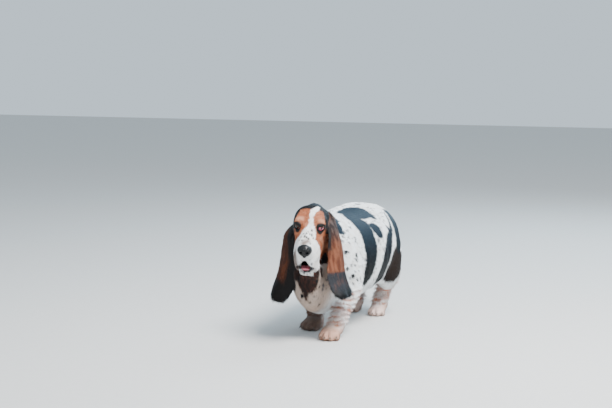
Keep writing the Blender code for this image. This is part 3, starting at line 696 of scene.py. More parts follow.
def ear_fields(co):
    """For each point, the nearest ear's distance, and its place from root 0 to tip 1 and front -1 to rear."""
    best = np.full(len(co), 1.0)
    along, across = np.zeros(len(co)), np.zeros(len(co))
    for side, rows in EARS.items():
        sheet, _, place = ear_sheet(rows, side, 16, 60)
        flat, place = sheet.reshape(-1, 3), place.reshape(-1, 2)
        inside = in_box(co, flat, EAR_MARGIN)
        for start in range(0, len(inside), POINTS_AT_ONCE):
            some = inside[start : start + POINTS_AT_ONCE]
            gap = np.linalg.norm(co[some][:, None] - flat[None], axis=2)
            nearest = gap.argmin(1)
            distance = gap[np.arange(len(some)), nearest]
            better = distance < best[some]
            some, nearest = some[better], nearest[better]
            best[some] = distance[better]
            along[some], across[some] = place[nearest].T
    return best, along, across


def ear_share(co):
    """1 on the ears, falling to 0 a little beside them."""
    return fade(ear_fields(co)[0], 0.0045, 0.012)


def head_share(co):
    """1 on the head in front of the ears, falling to 0 over the neck."""
    u, v, w = in_head(co).T
    return soft_step(u, -0.15, -0.11) * soft_step(w, -0.16, -0.13) * (np.abs(v) < 0.09)


def paw_share(co):
    share = np.zeros(len(co))
    for (x, y), _, size in PAWS.values():
        gap = np.linalg.norm(co[:, :2] - (x, y), axis=1)
        share = np.maximum(share, fade(gap, 0.055 * size, 0.015))
    return share * fade(co[:, 2], 0.05, 0.015)


def split_faces(obj, chosen):
    """Cuts each face between chosen points in four."""
    with editing(obj.data) as made:
        made.verts.ensure_lookup_table()
        edges = [e for e in made.edges if chosen[e.verts[0].index] and chosen[e.verts[1].index]]
        bmesh.ops.subdivide_edges(made, edges=edges, cuts=1, use_grid_fill=True)


def eye_axis(side):
    turned = Matrix.Rotation(EYE_TURN * side, 4, "Z")
    return HEAD @ Matrix.Translation(mirrored(EYE_CENTRE, side)) @ turned


# Lines along the head that the skin folds at: path in the head's frame, reach, height.
HEAD_STROKES = (
    (((0.014, 0.0, 0.004), (-0.006, 0.0, 0.016)), 0.012, -0.0016),
    (((-0.004, 0.012, 0.014), (-0.024, 0.013, 0.020), (-0.050, 0.012, 0.024)), 0.008, -0.0009),
    (((0.002, 0.024, 0.011), (-0.002, 0.034, 0.0165), (-0.010, 0.046, 0.0125)), 0.0050, -0.0012),
    (((0.006, 0.027, -0.0145), (0.001, 0.038, -0.0200), (-0.010, 0.048, -0.0150)), 0.0045, -0.0016),
    (((0.012, 0.028, -0.019), (0.004, 0.039, -0.030), (-0.010, 0.050, -0.026)), 0.0060, -0.0016),
    (((0.002, 0.042, -0.034), (-0.006, 0.047, -0.054), (0.000, 0.045, -0.078)), 0.0085, -0.0026),
    (((-0.024, 0.052, -0.040), (-0.030, 0.054, -0.065), (-0.026, 0.050, -0.092)), 0.0090, -0.0024),
    (((0.020, 0.044, -0.060), (0.050, 0.040, -0.064), (0.080, 0.034, -0.062)), 0.0130, 0.0010),
)
LIP_CLEFT = ((0.098, 0.0, -0.050), (0.1015, 0.0, -0.060), (0.0990, 0.0, -0.070))


WRINKLE_HEIGHTS = {
    "front": (0.050, 0.060, 0.071, 0.083, 0.096, 0.110, 0.126, 0.144),
    "hind": (0.046, 0.056, 0.067, 0.079, 0.092, 0.106, 0.122),
}


def wrinkle_paths():
    """Rings of loose skin round each lower leg, each a little askew."""
    paths = []
    for which in LEGS:
        rows = smooth_rows(LEGS[which], 60)
        for k, height in enumerate(WRINKLE_HEIGHTS[which.split("_")[0]]):
            row = rows[np.argmin(abs(rows[:, 2] - height))]
            for first, span in ((20 + 35 * k, 150), (205 + 25 * k, 140)):
                path = []
                for step in range(11):
                    angle = math.radians(first + span * step / 10)
                    reach = row[4] if math.sin(angle) > 0 else row[5]
                    away = Vector((math.cos(angle) * row[3], math.sin(angle) * reach, 0))
                    lift = 0.005 * math.sin(angle + k)
                    path.append(Vector(row[:3]) + away + UP * lift)
                paths.append(path)
    return paths


def leg_wrinkles(skin):
    """Each ring is a furrow with a low swelling above it."""
    for path in wrinkle_paths():
        stroke(skin, path, 0.0062, -0.0044)
        stroke(skin, [p + UP * 0.0055 for p in path], 0.0058, 0.0020)


# Folds of the body, on both sides: path, reach, height.
BODY_STROKES = (
    (((0.060, -0.262, 0.300), (0.078, -0.228, 0.225), (0.080, -0.205, 0.165)), 0.022, -0.0040),
    (((0.105, -0.075, 0.255), (0.104, -0.078, 0.190), (0.090, -0.080, 0.130)), 0.024, -0.0040),
    (((0.118, 0.095, 0.250), (0.110, 0.105, 0.180), (0.080, 0.110, 0.120)), 0.024, -0.0040),
    (((0.100, 0.110, 0.150), (0.085, 0.060, 0.115)), 0.018, 0.0035),
    (((0.120, -0.130, 0.330), (0.060, -0.130, 0.378)), 0.030, 0.0030),
)


# Loose skin under the throat: two hanging folds with a furrow between them.
THROAT_FOLDS = (
    ((0.050, -0.345, 0.262), (0.040, -0.325, 0.215), (0.022, -0.295, 0.165), (0.010, -0.272, 0.125)),
    ((0.012, -0.352, 0.262), (0.004, -0.330, 0.215), (-0.006, -0.300, 0.165), (-0.008, -0.275, 0.125)),
)
THROAT_FURROW = ((0.030, -0.350, 0.245), (0.020, -0.330, 0.205), (0.006, -0.300, 0.155))


def sculpt_throat(skin):
    for path in THROAT_FOLDS:
        stroke(skin, path, 0.013, 0.0050)
    stroke(skin, THROAT_FURROW, 0.010, -0.0040)


def toe_grooves(skin):
    for which in PAWS:
        for side in (-0.0172, 0.0, 0.0172):
            path = [(side * 0.9, 0.008, 0.052), (side, 0.030, 0.040), (side * 1.04, 0.050, 0.012)]
            stroke(skin, path, 0.0052, -0.0030, paw_matrix(which))


def press_feet(obj):
    co = read_points(obj)
    co[:, 2] = np.maximum(co[:, 2], 0)
    write_points(obj, co)


# The opening of the lids, in the eye's own frame: centre and radii of the two forms that it joins.
EYE_OPENINGS = (
    ((0.012, 0.0005, 0.0000), (0.012, 0.0100, 0.0080)),
    ((0.012, -0.0008, -0.0012), (0.012, 0.0092, 0.0090)),
)


def carve_eyes(skin):
    """Sockets with a drooping almond opening. The lids rest on the eyeball."""
    for side in SIDES:
        axis = eye_axis(side)
        cut_away(skin, ellipsoid("socket", (0, 0, 0), (EYE_RADIUS - 0.0002,) * 3, axis, rings=24))
        for centre, radii in EYE_OPENINGS:
            cut_away(skin, ellipsoid("opening", mirrored(centre, side), radii, axis, rings=20))


def fine_share(co):
    """1 on the face and the paws, whose forms are small."""
    return np.maximum(head_share(co), paw_share(co))


def build_skin():
    forms = [torso_form(), *neck_forms(), *upper_head_forms(), jaw_form(), tail_form()]
    for which, stations in LEGS.items():
        forms.append(limb(which, stations, along=30))
        forms += paw_forms(which)
    forms += [ear_form("ear", EARS[side], side, across=24, along=60) for side in SIDES]
    skin = fuse("skin", forms, SKIN_VOXEL)
    co = read_points(skin)
    fine, ear = fine_share(co), ear_share(co)
    plain = 1 - np.clip(np.maximum(fine, ear), 0, 1)
    relax(skin, 50, 0.6, where=lambda _: plain)
    relax(skin, 14, 0.55, where=lambda _: np.clip(fine - ear, 0, 1))
    relax(skin, 12, 0.5, restore=0.30, where=lambda _: ear)
    stroke_sides(skin, BODY_STROKES)
    sculpt_throat(skin)
    relax(skin, 5, 0.5, where=lambda _: plain)
    leg_wrinkles(skin)
    co = read_points(skin)
    depth = COAT_DEPTH * (1 - 0.7 * ear_share(co)) * np.clip(co[:, 2] / 0.01, 0, 1)
    write_points(skin, co - read_normals(skin) * depth[:, None])
    cut_away(skin, loft("mouth", MOUTH, frame=HEAD))
    split_faces(skin, fine_share(read_points(skin)) > 0.4)
    relax(skin, 2, 0.5, where=fine_share)
    stroke_sides(skin, HEAD_STROKES, HEAD)
    stroke(skin, LIP_CLEFT, 0.005, -0.0030, HEAD)
    toe_grooves(skin)
    press_feet(skin)
    carve_eyes(skin)
    relax(skin, 2, 0.5, where=lids_and_lips)
    return skin


def lids_and_lips(co):
    share = np.zeros(len(co))
    for side in SIDES:
        centre = np.array(HEAD @ Vector(mirrored(EYE_CENTRE, side)))
        gap = np.linalg.norm(co - centre, axis=1)
        share = np.maximum(share, fade(gap, 0.016, 0.004))
    u, v, w = in_head(co).T
    lips = (u > 0.0) * (np.abs(v) < 0.03) * (w < -0.045)
    return np.maximum(share, lips)


# The depth of a point that lies well outside a marking.
OUTSIDE = -0.05
BAND_MARGIN = 0.09
# Markings, in millimetres. Each band is a line of (x, y, z, half width) on the dog, or (u, v, w, half width)
# on the head.
BLACK_LEFT = (
    ((24, -84, 374, 10), (31, -66, 374, 22), (37, -35, 374, 34), (43, -5, 373, 40), (52, 20, 370, 34),
     (66, 38, 362, 19), (84, 56, 350, 10)),
    ((48, -88, 366, 14), (60, -78, 360, 22), (73, -66, 349, 30), (87, -52, 335, 38), (99, -45, 315, 40),
     (110, -44, 290, 41), (117, -40, 260, 38), (119, -42, 235, 34), (117, -50, 205, 31),
     (113, -52, 182, 26), (104, -54, 158, 14)),
    ((98, 0, 333, 8), (105, 19, 321, 18), (113, 36, 306, 20.5), (118, 48, 294, 10)),
    ((110, 107, 317, 5), (118, 120, 297, 13), (124, 103, 271, 25), (124, 87, 238, 31), (121, 72, 200, 36),
     (113, 70, 170, 40), (100, 78, 148, 30), (88, 90, 130, 14)),
    ((83, 161, 352, 6), (101, 150, 334, 11), (112, 142, 311, 13), (120, 128, 288, 11)),
    ((74, 196, 356, 14), (90, 210, 332, 36), (103, 214, 302, 44), (110, 212, 278, 40), (116, 200, 254, 30),
     (120, 190, 232, 14)),
    ((-20, -232, 385, 50), (20, -222, 388, 34), (46, -208, 384, 18), (62, -202, 370, 18),
     (70, -190, 350, 22), (71, -180, 332, 13)),
    # The next band is black coat and painted shade below the left cheek, between flew and ear.
    ((51, -256, 264, 9), (50, -258, 252, 13), (44, -266, 247, 6)),
)
# The right side has like patches in other places.
BLACK_RIGHT = (
    ((-30, -75, 375, 22), (-60, -60, 360, 40), (-90, -30, 330, 52), (-108, -10, 292, 50),
     (-118, -8, 250, 36), (-118, -20, 210, 22), (-112, -30, 182, 8)),
    ((-50, 70, 372, 20), (-84, 92, 350, 30), (-108, 112, 312, 30), (-120, 118, 270, 24),
     (-120, 112, 235, 10)),
    ((-60, 225, 350, 20), (-88, 250, 305, 36), (-98, 240, 262, 32), (-102, 220, 230, 14)),
    ((-36, -200, 388, 22), (-62, -180, 360, 26), (-80, -165, 325, 20), (-86, -160, 296, 8)),
)
# Black spots of the size of a coin and smaller: place and radius.
SPOTS = (
    (88, -191, 270, 6), (96, -132, 298, 5.5), (108, -152, 255, 7), (106, -177, 195, 7),
    (93, -191, 219, 5.5), (75, -125, 338, 4), (105, -102, 273, 3), (111, -153, 239, 3.5),
    (116, -162, 180, 3.4), (120, -6, 194, 4.5), (15, 86, 385, 9), (-2, -308, 148, 5), (10, -303, 135, 3.4),
    (15, -294, 125, 3), (35, -267, 115, 3.6), (49, -319, 196, 5), (48, -298, 177, 5), (-104, -120, 240, 7),
    (-100, -165, 285, 5.5), (-112, 50, 220, 6), (-115, 40, 300, 5), (-104, -130, 195, 5), (0, 150, 388, 6),
    (-20, 20, 382, 7),
)
# Small dark ticks along the bridge of the muzzle: u, v and half width.
BRIDGE_TICKS = (
    (23, 10, 2.2), (30, 2, 2.2), (38, -11, 2.2), (39, -3, 2.8), (39, 7, 2.6), (41, 13, 2.6), (48, 19, 2.4),
    (49, -18, 2.4), (51, -6, 3), (56, -1, 2.8), (59, -22, 2.2), (61, 5, 3), (69, -11, 2.4), (78, 13, 2.2),
)
BROWN_THIGH = (
    ((121, 192, 236, 10), (119, 184, 212, 32), (112, 168, 190, 52), (102, 166, 174, 50)),
    ((80, 250, 210, 40), (72, 262, 165, 34)),
    ((112, 180, 192, 34), (100, 222, 188, 36), (80, 255, 188, 38)),
    ((-116, 215, 224, 10), (-108, 212, 185, 44), (-92, 222, 158, 38)),
    ((-80, 272, 210, 40), (-70, 285, 165, 34)),
)
# Reddish brown coat of the throat, painted much darker as the shade that falls under the chin.
THROAT_RUST_AND_SHADE = (
    ((30, -340, 240, 40), (21, -331, 205, 36), (16, -322, 184, 30), (12, -316, 168, 17), (9, -311, 153, 7),
     (5, -304, 135, 4)),
    ((-20, -300, 260, 40), (-12, -305, 225, 36)),
    ((40, -300, 226, 20), (32, -276, 212, 18)),
    ((44, -302, 236, 16), (40, -276, 247, 12)),
)
# Brown on the head: a stain above the nose, stain with painted shade down the muzzle's right side, and
# painted shade at the left corner of the mouth. Down the right foreleg, a brown tint painted dark as the
# shade under the chest.
FACE_STAINS_AND_SHADE = (
    ((73, 5, -7, 9), (83, -4, -9, 11)),
    ((80, -32, -50, 12), (83, -30, -75, 19), (80, -27, -100, 18)),
    ((70, 30, -112, 5), (80, 24, -100, 4)),
)
LEG_BROWN_AND_SHADE = (
    ((-40, -205, 100, 20), (-66, -140, 140, 40), (-62, -112, 85, 36), (-55, -130, 25, 40)),
)
BROW_SPOTS = (
    ((-12, 30, 20, 6), (-10, 42, 15, 5)),
    ((-14, -26, 20, 8), (-12, -38, 16, 6)),
    ((16, 38, -30, 4.5), (-7, 42, -60, 6), (-6, 42, -80, 6), (17, 40, -75, 3.5)),
)
BLAZE = (
    (-76, 17, 22, 6), (-64, 12, 23, 10), (-45, 5.5, 22, 8), (-25, 4, 19, 6.2), (-8, 4.5, 11, 7),
    (10, 6, 2, 11.5), (28, 6, -2, 18.5), (45, 0, -4, 28),
)
# The bare dark edge of the lower lip.
LIPS = (
    (60, 22, -109, 4.2), (74, 16, -111, 4), (82, 0, -113.5, 1.8), (74, -16, -111, 4), (60, -22, -109, 4.2),
)


def band_depth(co, band):
    """How far each point lies inside a band, in metres, below 0 outside it."""
    rows = np.array(band, float) / 1000
    if len(rows) > 2:
        rows = smooth_rows(rows, 4 * len(rows))
    near = in_box(co, rows[:, :3], BAND_MARGIN)
    best = np.full(len(co), OUTSIDE)
    for a, b in zip(rows[:-1], rows[1:]):
        run = b[:3] - a[:3]
        away = co[near] - a[:3]
        t = np.clip(away @ run / max(run @ run, 1e-12), 0, 1)
        gap = np.linalg.norm(away - t[:, None] * run, axis=1)
        best[near] = np.maximum(best[near], a[3] + (b[3] - a[3]) * t - gap)
    return best


def spot_band(spot):
    """A round spot as a band of next to no length."""
    x, y, z, radius = spot
    return (spot, (x, y, z + 0.01, radius))


def deepest(co, bands):
    return np.max([band_depth(co, band) for band in bands], axis=0)


# The dark bare skin round each eye: half width and half height.
RIM_SHAPE = {1: (0.0170, 0.0165), -1: (0.0160, 0.0162)}
RIM_INWARD = 0.0015
RIM_DROP = 0.0004
TICK_STRETCH = 1.6
CREASE_WIDTH = 0.0059


def inside_mouth(head_co):
    """1 in the open mouth, falling to 0 a little past its edge."""
    u, v, w = head_co.T
    rows = smooth_rows(MOUTH, 40).T
    middle, half, above, below, power = (np.interp(u, rows[0], column) for column in rows[2:7])
    reach = np.where(w > middle, above, below)
    level = (np.abs(v) / half) ** power + (np.abs(w - middle) / reach) ** power
    return (1 - soft_step(level, 1.03, 1.25)) * (u > -0.020) * (u < 0.110)


def dark_of_ear(left, along, across):
    """How far inside the ear's black parts a point lies: the root, the front edge and the tip. On the right
    ear the front part is black coat darkened further as painted shade.
    """
    root = np.where(left, -0.10, 0.13) - along
    front = np.where(left, np.minimum((-0.80 - across) / 3, 0.44 - along), (-0.15 - across) / 4)
    tip = along - np.where(left, 0.905, 0.76)
    return np.maximum(root, np.maximum(front, tip))


def face_depths(head_co, leather, on_head):
    """How far points lie inside the black cap behind the eyes, and inside the white of blaze and muzzle."""
    u, v, w = head_co.T
    beside = np.where(v > 0, 0.050 - 0.024 * soft_step(-w, 0.026, 0.050), 0.060)
    cap_edge = -0.062 + beside * soft_step(np.abs(v), 0.034, 0.048)
    cap = np.where(on_head & ((leather < 0.5) | (v < 0)), cap_edge - u, OUTSIDE)
    muzzle = u - 0.028 - 0.008 * soft_step(w, -0.050, -0.010) - 0.010 * (v > 0)
    muzzle += 0.024 * soft_step(-w, 0.070, 0.115)
    return cap, np.maximum(band_depth(head_co, BLAZE), muzzle)


def black_depth(co, head_co, cap, white_face, leather, on_head):
    u, v, w = head_co.T
    black = np.maximum(deepest(co, BLACK_LEFT + BLACK_RIGHT), np.minimum(cap, -white_face))
    black = np.where(leather > 0.5, OUTSIDE, black)
    spots = deepest(co, [spot_band(spot) for spot in SPOTS])
    rows = np.array(BRIDGE_TICKS) / 1000
    ticks = np.max([r - np.hypot((u - a) / TICK_STRETCH, v - b) for a, b, r in rows], axis=0)
    ticks = np.where((w > -0.035) & on_head, ticks, OUTSIDE)
    return np.maximum(black, np.maximum(spots, ticks))


def eye_rims(co):
    """1 on the dark bare skin round the eyes."""
    rim = np.zeros(len(co))
    for side in SIDES:
        out = np.array(eye_axis(side).inverted())
        forward, across, up = (co @ out[:3, :3].T + out[:3, 3]).T
        half, height = RIM_SHAPE[side]
        reach = np.hypot((across + RIM_INWARD * side) / half, (up + RIM_DROP) / height)
        rim = np.maximum(rim, (1 - soft_step(reach, 0.88, 1.12)) * (forward > -0.014))
    return rim


def creases(co):
    """1 along the furrows of the lower legs, where the pink skin shows."""
    low = np.nonzero(co[:, 2] < 0.160)[0]
    crease = np.zeros(len(co))
    for path in wrinkle_paths():
        gap = near_path(co[low], np.array([tuple(p) for p in path]))
        crease[low] = np.maximum(crease[low], np.exp(-((gap / CREASE_WIDTH) ** 2)))
    return crease


def skin_fields(co):
    """What the fur's colour depends on, for each point of the skin."""
    head_co = in_head(co)
    u, v, w = head_co.T
    height = co[:, 2]
    left = co[:, 0] > 0
    gap, along, across = ear_fields(co)
    leather = fade(gap, 0.004, 0.006)
    on_head = soft_step(u, -0.150, -0.120) * soft_step(w, -0.150, -0.110) * (np.abs(v) < 0.075)
    cap, white_face = face_depths(head_co, leather, on_head > 0.5)
    chin = soft_step(u, 0.030, 0.042) * soft_step(w, -0.1310, -0.1270)
    chin *= np.maximum(soft_step(w, -0.1165, -0.1125), soft_step(-np.abs(v), -0.0260, -0.0230))
    stain_and_shade = np.maximum(deepest(head_co, FACE_STAINS_AND_SHADE), deepest(co, LEG_BROWN_AND_SHADE))
    chest = soft_step(-co[:, 1], 0.200, 0.260) * soft_step(-height, -0.300, -0.240)
    hock = soft_step(co[:, 1], 0.180, 0.220) * soft_step(-height, -0.205, -0.175)
    cream = np.maximum(chest * (1 - on_head) + 0.26 * on_head, 0.35 * hock)
    forehead = on_head * soft_step(w, -0.06, -0.04)
    return {
        "black": black_depth(co, head_co, cap, white_face, leather, on_head > 0.5),
        "tan": np.where((on_head > 0.5) & (w > -0.118), -white_face, OUTSIDE),
        "leather": leather,
        "down_ear": along,
        "ear_dark": dark_of_ear(left, along, across),
        "ear_dark_and_sheen": np.where(left, along - 0.70, -1.0),
        "brown": deepest(co, BROWN_THIGH),
        "rust_and_shade": np.where(chin > 0.5, -0.02, deepest(co, THROAT_RUST_AND_SHADE)),
        "stain_and_shade": np.clip(stain_and_shade / 0.012 + 0.4, 0, 1),
        "light": np.clip(deepest(head_co, BROW_SPOTS) / 0.010 + 0.5, 0, 1),
        "mouth": inside_mouth(head_co),
        "rim": eye_rims(co),
        "lips": np.clip(band_depth(head_co, LIPS) / 0.003 + 0.5, 0, 1),
        "crease": creases(co),
        "chest": cream * (1 - leather),
        "paw": fade(height, 0.030, 0.015),
        "speck": soft_step(height, 0.100, 0.150) * (1 - leather) * (1 - forehead),
    }


def store(mesh, name, values, kind="FLOAT"):
    layer = mesh.attributes.new(name, kind, "POINT")
    key = "vector" if kind == "FLOAT_VECTOR" else "value"
    layer.data.foreach_set(key, np.asarray(values, np.float32).ravel())


# Materials.
def srgb(red, green, blue):
    """A colour as the eye reads it, 0 to 255, as linear light."""
    parts = [c / 255 for c in (red, green, blue)]
    return (*(c / 12.92 if c <= 0.04045 else ((c + 0.055) / 1.055) ** 2.4 for c in parts), 1)


class Graph:
    """A material's nodes, made by short calls."""

    def __init__(self, name):
        self.material = bpy.data.materials.new(name)
        self.material.use_nodes = True
        self.nodes = self.material.node_tree.nodes
        self.links = self.material.node_tree.links
        self.shader = self.nodes["Principled BSDF"]

    def put(self, socket, value):
        if isinstance(value, bpy.types.NodeSocket):
            self.links.new(value, socket)
        else:
            socket.default_value = value

    def math(self, operation, a, b=0.0, clamp=False):
        node = self.nodes.new("ShaderNodeMath")
        node.operation = operation
        node.use_clamp = clamp
        self.put(node.inputs[0], a)
        self.put(node.inputs[1], b)
        return node.outputs[0]

    def plus(self, a, b):
        return self.math("ADD", a, b)

    def times(self, a, b):
        return self.math("MULTIPLY", a, b)

    def minus(self, a, b, clamp=False):
        return self.math("SUBTRACT", a, b, clamp)

    def swing(self, value, amount):
        """A noise as a swing of that size about 0."""
        return self.times(self.minus(value, 0.5), amount)

    def attribute(self, name, vector=False):
        node = self.nodes.new("ShaderNodeAttribute")
        node.attribute_name = name
        return node.outputs["Vector" if vector else "Fac"]

    def stretch(self, vector, scale):
        node = self.nodes.new("ShaderNodeMapping")
        self.put(node.inputs["Vector"], vector)
        node.inputs["Scale"].default_value = scale
        return node.outputs[0]

    def noise(self, vector, scale, detail=2.0):
        node = self.nodes.new("ShaderNodeTexNoise")
        self.put(node.inputs["Vector"], vector)
        node.inputs["Scale"].default_value = scale
        node.inputs["Detail"].default_value = detail
        return node.outputs["Fac"]

    def cells(self, vector, scale):
        node = self.nodes.new("ShaderNodeTexVoronoi")
        self.put(node.inputs["Vector"], vector)
        node.inputs["Scale"].default_value = scale
        return node.outputs["Distance"], node.outputs["Color"]

    def smooth(self, value, low, high):
        node = self.nodes.new("ShaderNodeMapRange")
        node.interpolation_type = "SMOOTHSTEP"
        for name, number in (("Value", value), ("From Min", low), ("From Max", high)):
            self.put(node.inputs[name], number)
        return node.outputs[0]

    def split(self, kind, value):
        """The parts of a place or a colour."""
        node = self.nodes.new(kind)
        self.put(node.inputs[0], value)
        return node.outputs

    def mix(self, share, a, b, blend="MIX"):
        node = self.nodes.new("ShaderNodeMix")
        node.data_type = "RGBA"
        node.blend_type = blend
        for k, value in ((0, share), (6, a), (7, b)):
            self.put(node.inputs[k], value)
        return node.outputs[2]

    def bump(self, height, distance, strength=1.0, normal=None):
        node = self.nodes.new("ShaderNodeBump")
        node.inputs["Distance"].default_value = distance
        node.inputs["Strength"].default_value = strength
        self.put(node.inputs["Height"], height)
        if normal is not None:
            self.put(node.inputs["Normal"], normal)
        return node.outputs[0]

    def finish(self, colour, roughness, normal=None, **plain):
        self.put(self.shader.inputs["Base Color"], colour)
        self.put(self.shader.inputs["Roughness"], roughness)
        if normal is not None:
            self.put(self.shader.inputs["Normal"], normal)
        for name, value in plain.items():
            self.shader.inputs[name.replace("_", " ")].default_value = value
        return self.material


WHITE = srgb(246, 250, 252)
CREAM = srgb(172, 144, 124)
IVORY = srgb(232, 232, 230)
TICK = srgb(70, 72, 80)
TAN = srgb(144, 80, 50)
TAN_LIGHT = srgb(184, 130, 102)
TAN_DEEP = srgb(116, 58, 32)
# The right ear's red-brown, painted darker as that ear lies in shade.
RIGHT_EAR_IN_SHADE = srgb(70, 34, 17)
RIGHT_EAR_IN_SHADE_PALE = srgb(100, 52, 28)
LEFT_EAR = srgb(96, 50, 31)
LEFT_EAR_LIGHT = srgb(136, 84, 60)
EAR_GREY = srgb(82, 70, 66)
EAR_SHADE = srgb(24, 20, 20)
RIGHT_EAR_BLACK_IN_SHADE = srgb(18, 11, 8)
# Dark ear hair with a painted bluish reflection of the sky.
EAR_DARK_PAINTED_SHEEN = srgb(36, 38, 44)
EAR_BROWN = srgb(70, 50, 46)
BLACK = srgb(9, 11, 14)
# BLACK_SHEEN is a painted reflection of the sky on black coat.
BLACK_SHEEN = srgb(27, 43, 56)
BROWN = srgb(32, 21, 15)
# The throat's rust-brown coat, painted dark as it lies in shade under the chin.
RUST_IN_SHADE = srgb(28, 13, 9)
SKIN_PINK = srgb(214, 158, 130)
CREASE = srgb(184, 110, 74)
DARK_RIM = srgb(12, 9, 9)
RUST_IN_SHADE_LIGHT = srgb(70, 33, 22)
STAIN_AND_SHADE_BROWN = srgb(94, 68, 52)
GUM_IN_SHADE = srgb(16, 6, 8)


def fur_colour(g):
    """The coat's colour and how black it is, from the fields that skin and coat carry alike."""
    at = g.attribute("at", vector=True)
    broad = g.noise(at, 60, 2)
    fray = g.swing(g.noise(at, 420, 3), 0.012)
    wander = g.swing(broad, 0.010)
    uneven = g.plus(fray, wander)
    x, y, z = g.split("ShaderNodeSeparateXYZ", at)
    left = g.smooth(x, -0.02, 0.02)
    far = g.swing(g.noise(at, 26, 2), g.minus(0.060, g.times(left, 0.054)))

    def edge(name, ragged, soft=0.0012):
        return g.smooth(g.plus(g.attribute(name), ragged), -soft, soft)

    def tint(name, share, colour, other):
        return g.mix(g.times(g.attribute(name), share), colour, other)

    colour = g.mix(g.smooth(broad, 0.35, 0.65), WHITE, IVORY)
    colour = tint("chest", 0.85, colour, CREAM)
    distance, cell = g.cells(g.stretch(at, (1, 1, 0.7)), 118)
    chance = g.split("ShaderNodeSeparateColor", cell)[0]
    size = g.times(g.minus(chance, 0.40, clamp=True), 0.92)
    tick = g.times(g.smooth(g.minus(size, distance), -0.05, 0.08), 0.80)
    colour = tint("speck", tick, colour, TICK)
    patchy = g.plus(g.times(g.smooth(broad, 0.25, 0.55), 0.5), 0.45)
    colour = g.mix(g.times(g.smooth(g.attribute("crease"), 0.15, 0.75), patchy), colour, CREASE)
    colour = tint("paw", 0.55, colour, SKIN_PINK)
    # Brown stains, and painted shade on the muzzle's right side, at the mouth's left corner and down the
    # right foreleg.
    colour = tint("stain_and_shade", 0.85, colour, STAIN_AND_SHADE_BROWN)
    # Throat: rust-brown coat painted dark as shade under the chin.
    shaded_rust = g.mix(g.smooth(g.noise(g.stretch(at, (1, 1, 0.3)), 160, 3), 0.45, 0.7), RUST_IN_SHADE, RUST_IN_SHADE_LIGHT)
    colour = g.mix(edge("rust_and_shade", g.times(uneven, 1.5), 0.004), colour, shaded_rust)
    tan = g.mix(g.times(g.smooth(broad, 0.35, 0.65), 0.3), TAN, TAN_LIGHT)
    tan = g.mix(g.smooth(g.noise(g.stretch(at, (1, 1, 0.4)), 180, 2), 0.5, 0.7), tan, TAN_DEEP)
    tan = g.mix(g.attribute("light"), tan, TAN_LIGHT)
    colour = g.mix(edge("tan", uneven), colour, tan)
    strand = g.noise(g.stretch(at, (1, 1, 0.25)), 90, 3)
    streak = g.smooth(strand, 0.40, 0.65)
    # The right ear's colours are darker as painted shade.
    ear = g.mix(left, g.mix(streak, RIGHT_EAR_IN_SHADE, RIGHT_EAR_IN_SHADE_PALE), g.mix(streak, LEFT_EAR, LEFT_EAR_LIGHT))
    jitter = g.swing(strand, 0.22)
    grey = g.times(g.smooth(g.plus(g.attribute("down_ear"), jitter), 0.44, 0.20), left)
    ear = g.mix(g.times(grey, 0.9), ear, g.mix(g.smooth(strand, 0.44, 0.58), EAR_SHADE, EAR_GREY))
    # The lower left ear: dark hair with a painted bluish reflection, streaked with brown.
    dark_sheen = g.smooth(g.plus(g.attribute("ear_dark_and_sheen"), g.times(jitter, 0.12)), -0.010, 0.010)
    ear = g.mix(dark_sheen, ear, g.mix(g.smooth(strand, 0.50, 0.66), EAR_DARK_PAINTED_SHEEN, EAR_BROWN))
    colour = g.mix(g.attribute("leather"), colour, ear)
    dark = g.smooth(g.plus(g.attribute("ear_dark"), g.times(jitter, 0.6)), -0.035, 0.035)
    dark = g.times(dark, g.attribute("leather"))
    colour = g.mix(edge("brown", uneven, 0.004), colour, BROWN)
    black = g.math("MAXIMUM", edge("black", g.plus(fray, far)), dark)
    # Painted reflection: the black coat turns to a bluish sheen higher up on the body, the head keeps plain
    # black.
    sky = g.smooth(g.plus(z, g.times(wander, 6.0)), 0.19, 0.36)
    sky = g.times(sky, g.smooth(y, -0.26, -0.16))
    ink = g.mix(sky, BLACK, BLACK_SHEEN)
    # The right ear's dark parts: brownish black, with painted shade.
    ink = g.mix(g.times(dark, g.minus(1.0, left)), ink, RIGHT_EAR_BLACK_IN_SHADE)
    return at, g.mix(black, colour, ink), black


def skin_material():
    g = Graph("hound_skin")
    at, colour, black = fur_colour(g)
    bare = g.math("MAXIMUM", g.attribute("rim"), g.attribute("lips"))
    colour = g.mix(bare, colour, DARK_RIM)
    # Inside the mouth: dark gum, painted near black as the shade inside.
    colour = g.mix(g.attribute("mouth"), colour, GUM_IN_SHADE)
    roughness = g.minus(0.66, g.times(black, 0.12))
    normal = g.bump(g.noise(at, 85, 3), 0.0010, 0.5)
    normal = g.bump(g.noise(g.stretch(at, (1, 0.35, 0.6)), 900, 3), 0.0007, 0.7, normal)
    return g.finish(colour, roughness, normal, Specular_IOR_Level=0.25)


def coat_material():
    g = Graph("hound_coat")
    _, colour, black = fur_colour(g)
    # Each tuft has its own random tone, and is painted darker towards its root as the shade among the hairs.
    shade = g.plus(g.times(g.attribute("shade"), 0.26), 0.86)
    shade = g.times(shade, g.plus(0.86, g.times(g.attribute("reach"), 0.2)))
    grey = g.nodes.new("ShaderNodeCombineColor")
    for socket in grey.inputs[:3]:
        g.put(socket, shade)
    colour = g.mix(1.0, colour, grey.outputs[0], "MULTIPLY")
    roughness = g.minus(0.62, g.times(black, 0.12))
    return g.finish(colour, roughness, Specular_IOR_Level=0.22)


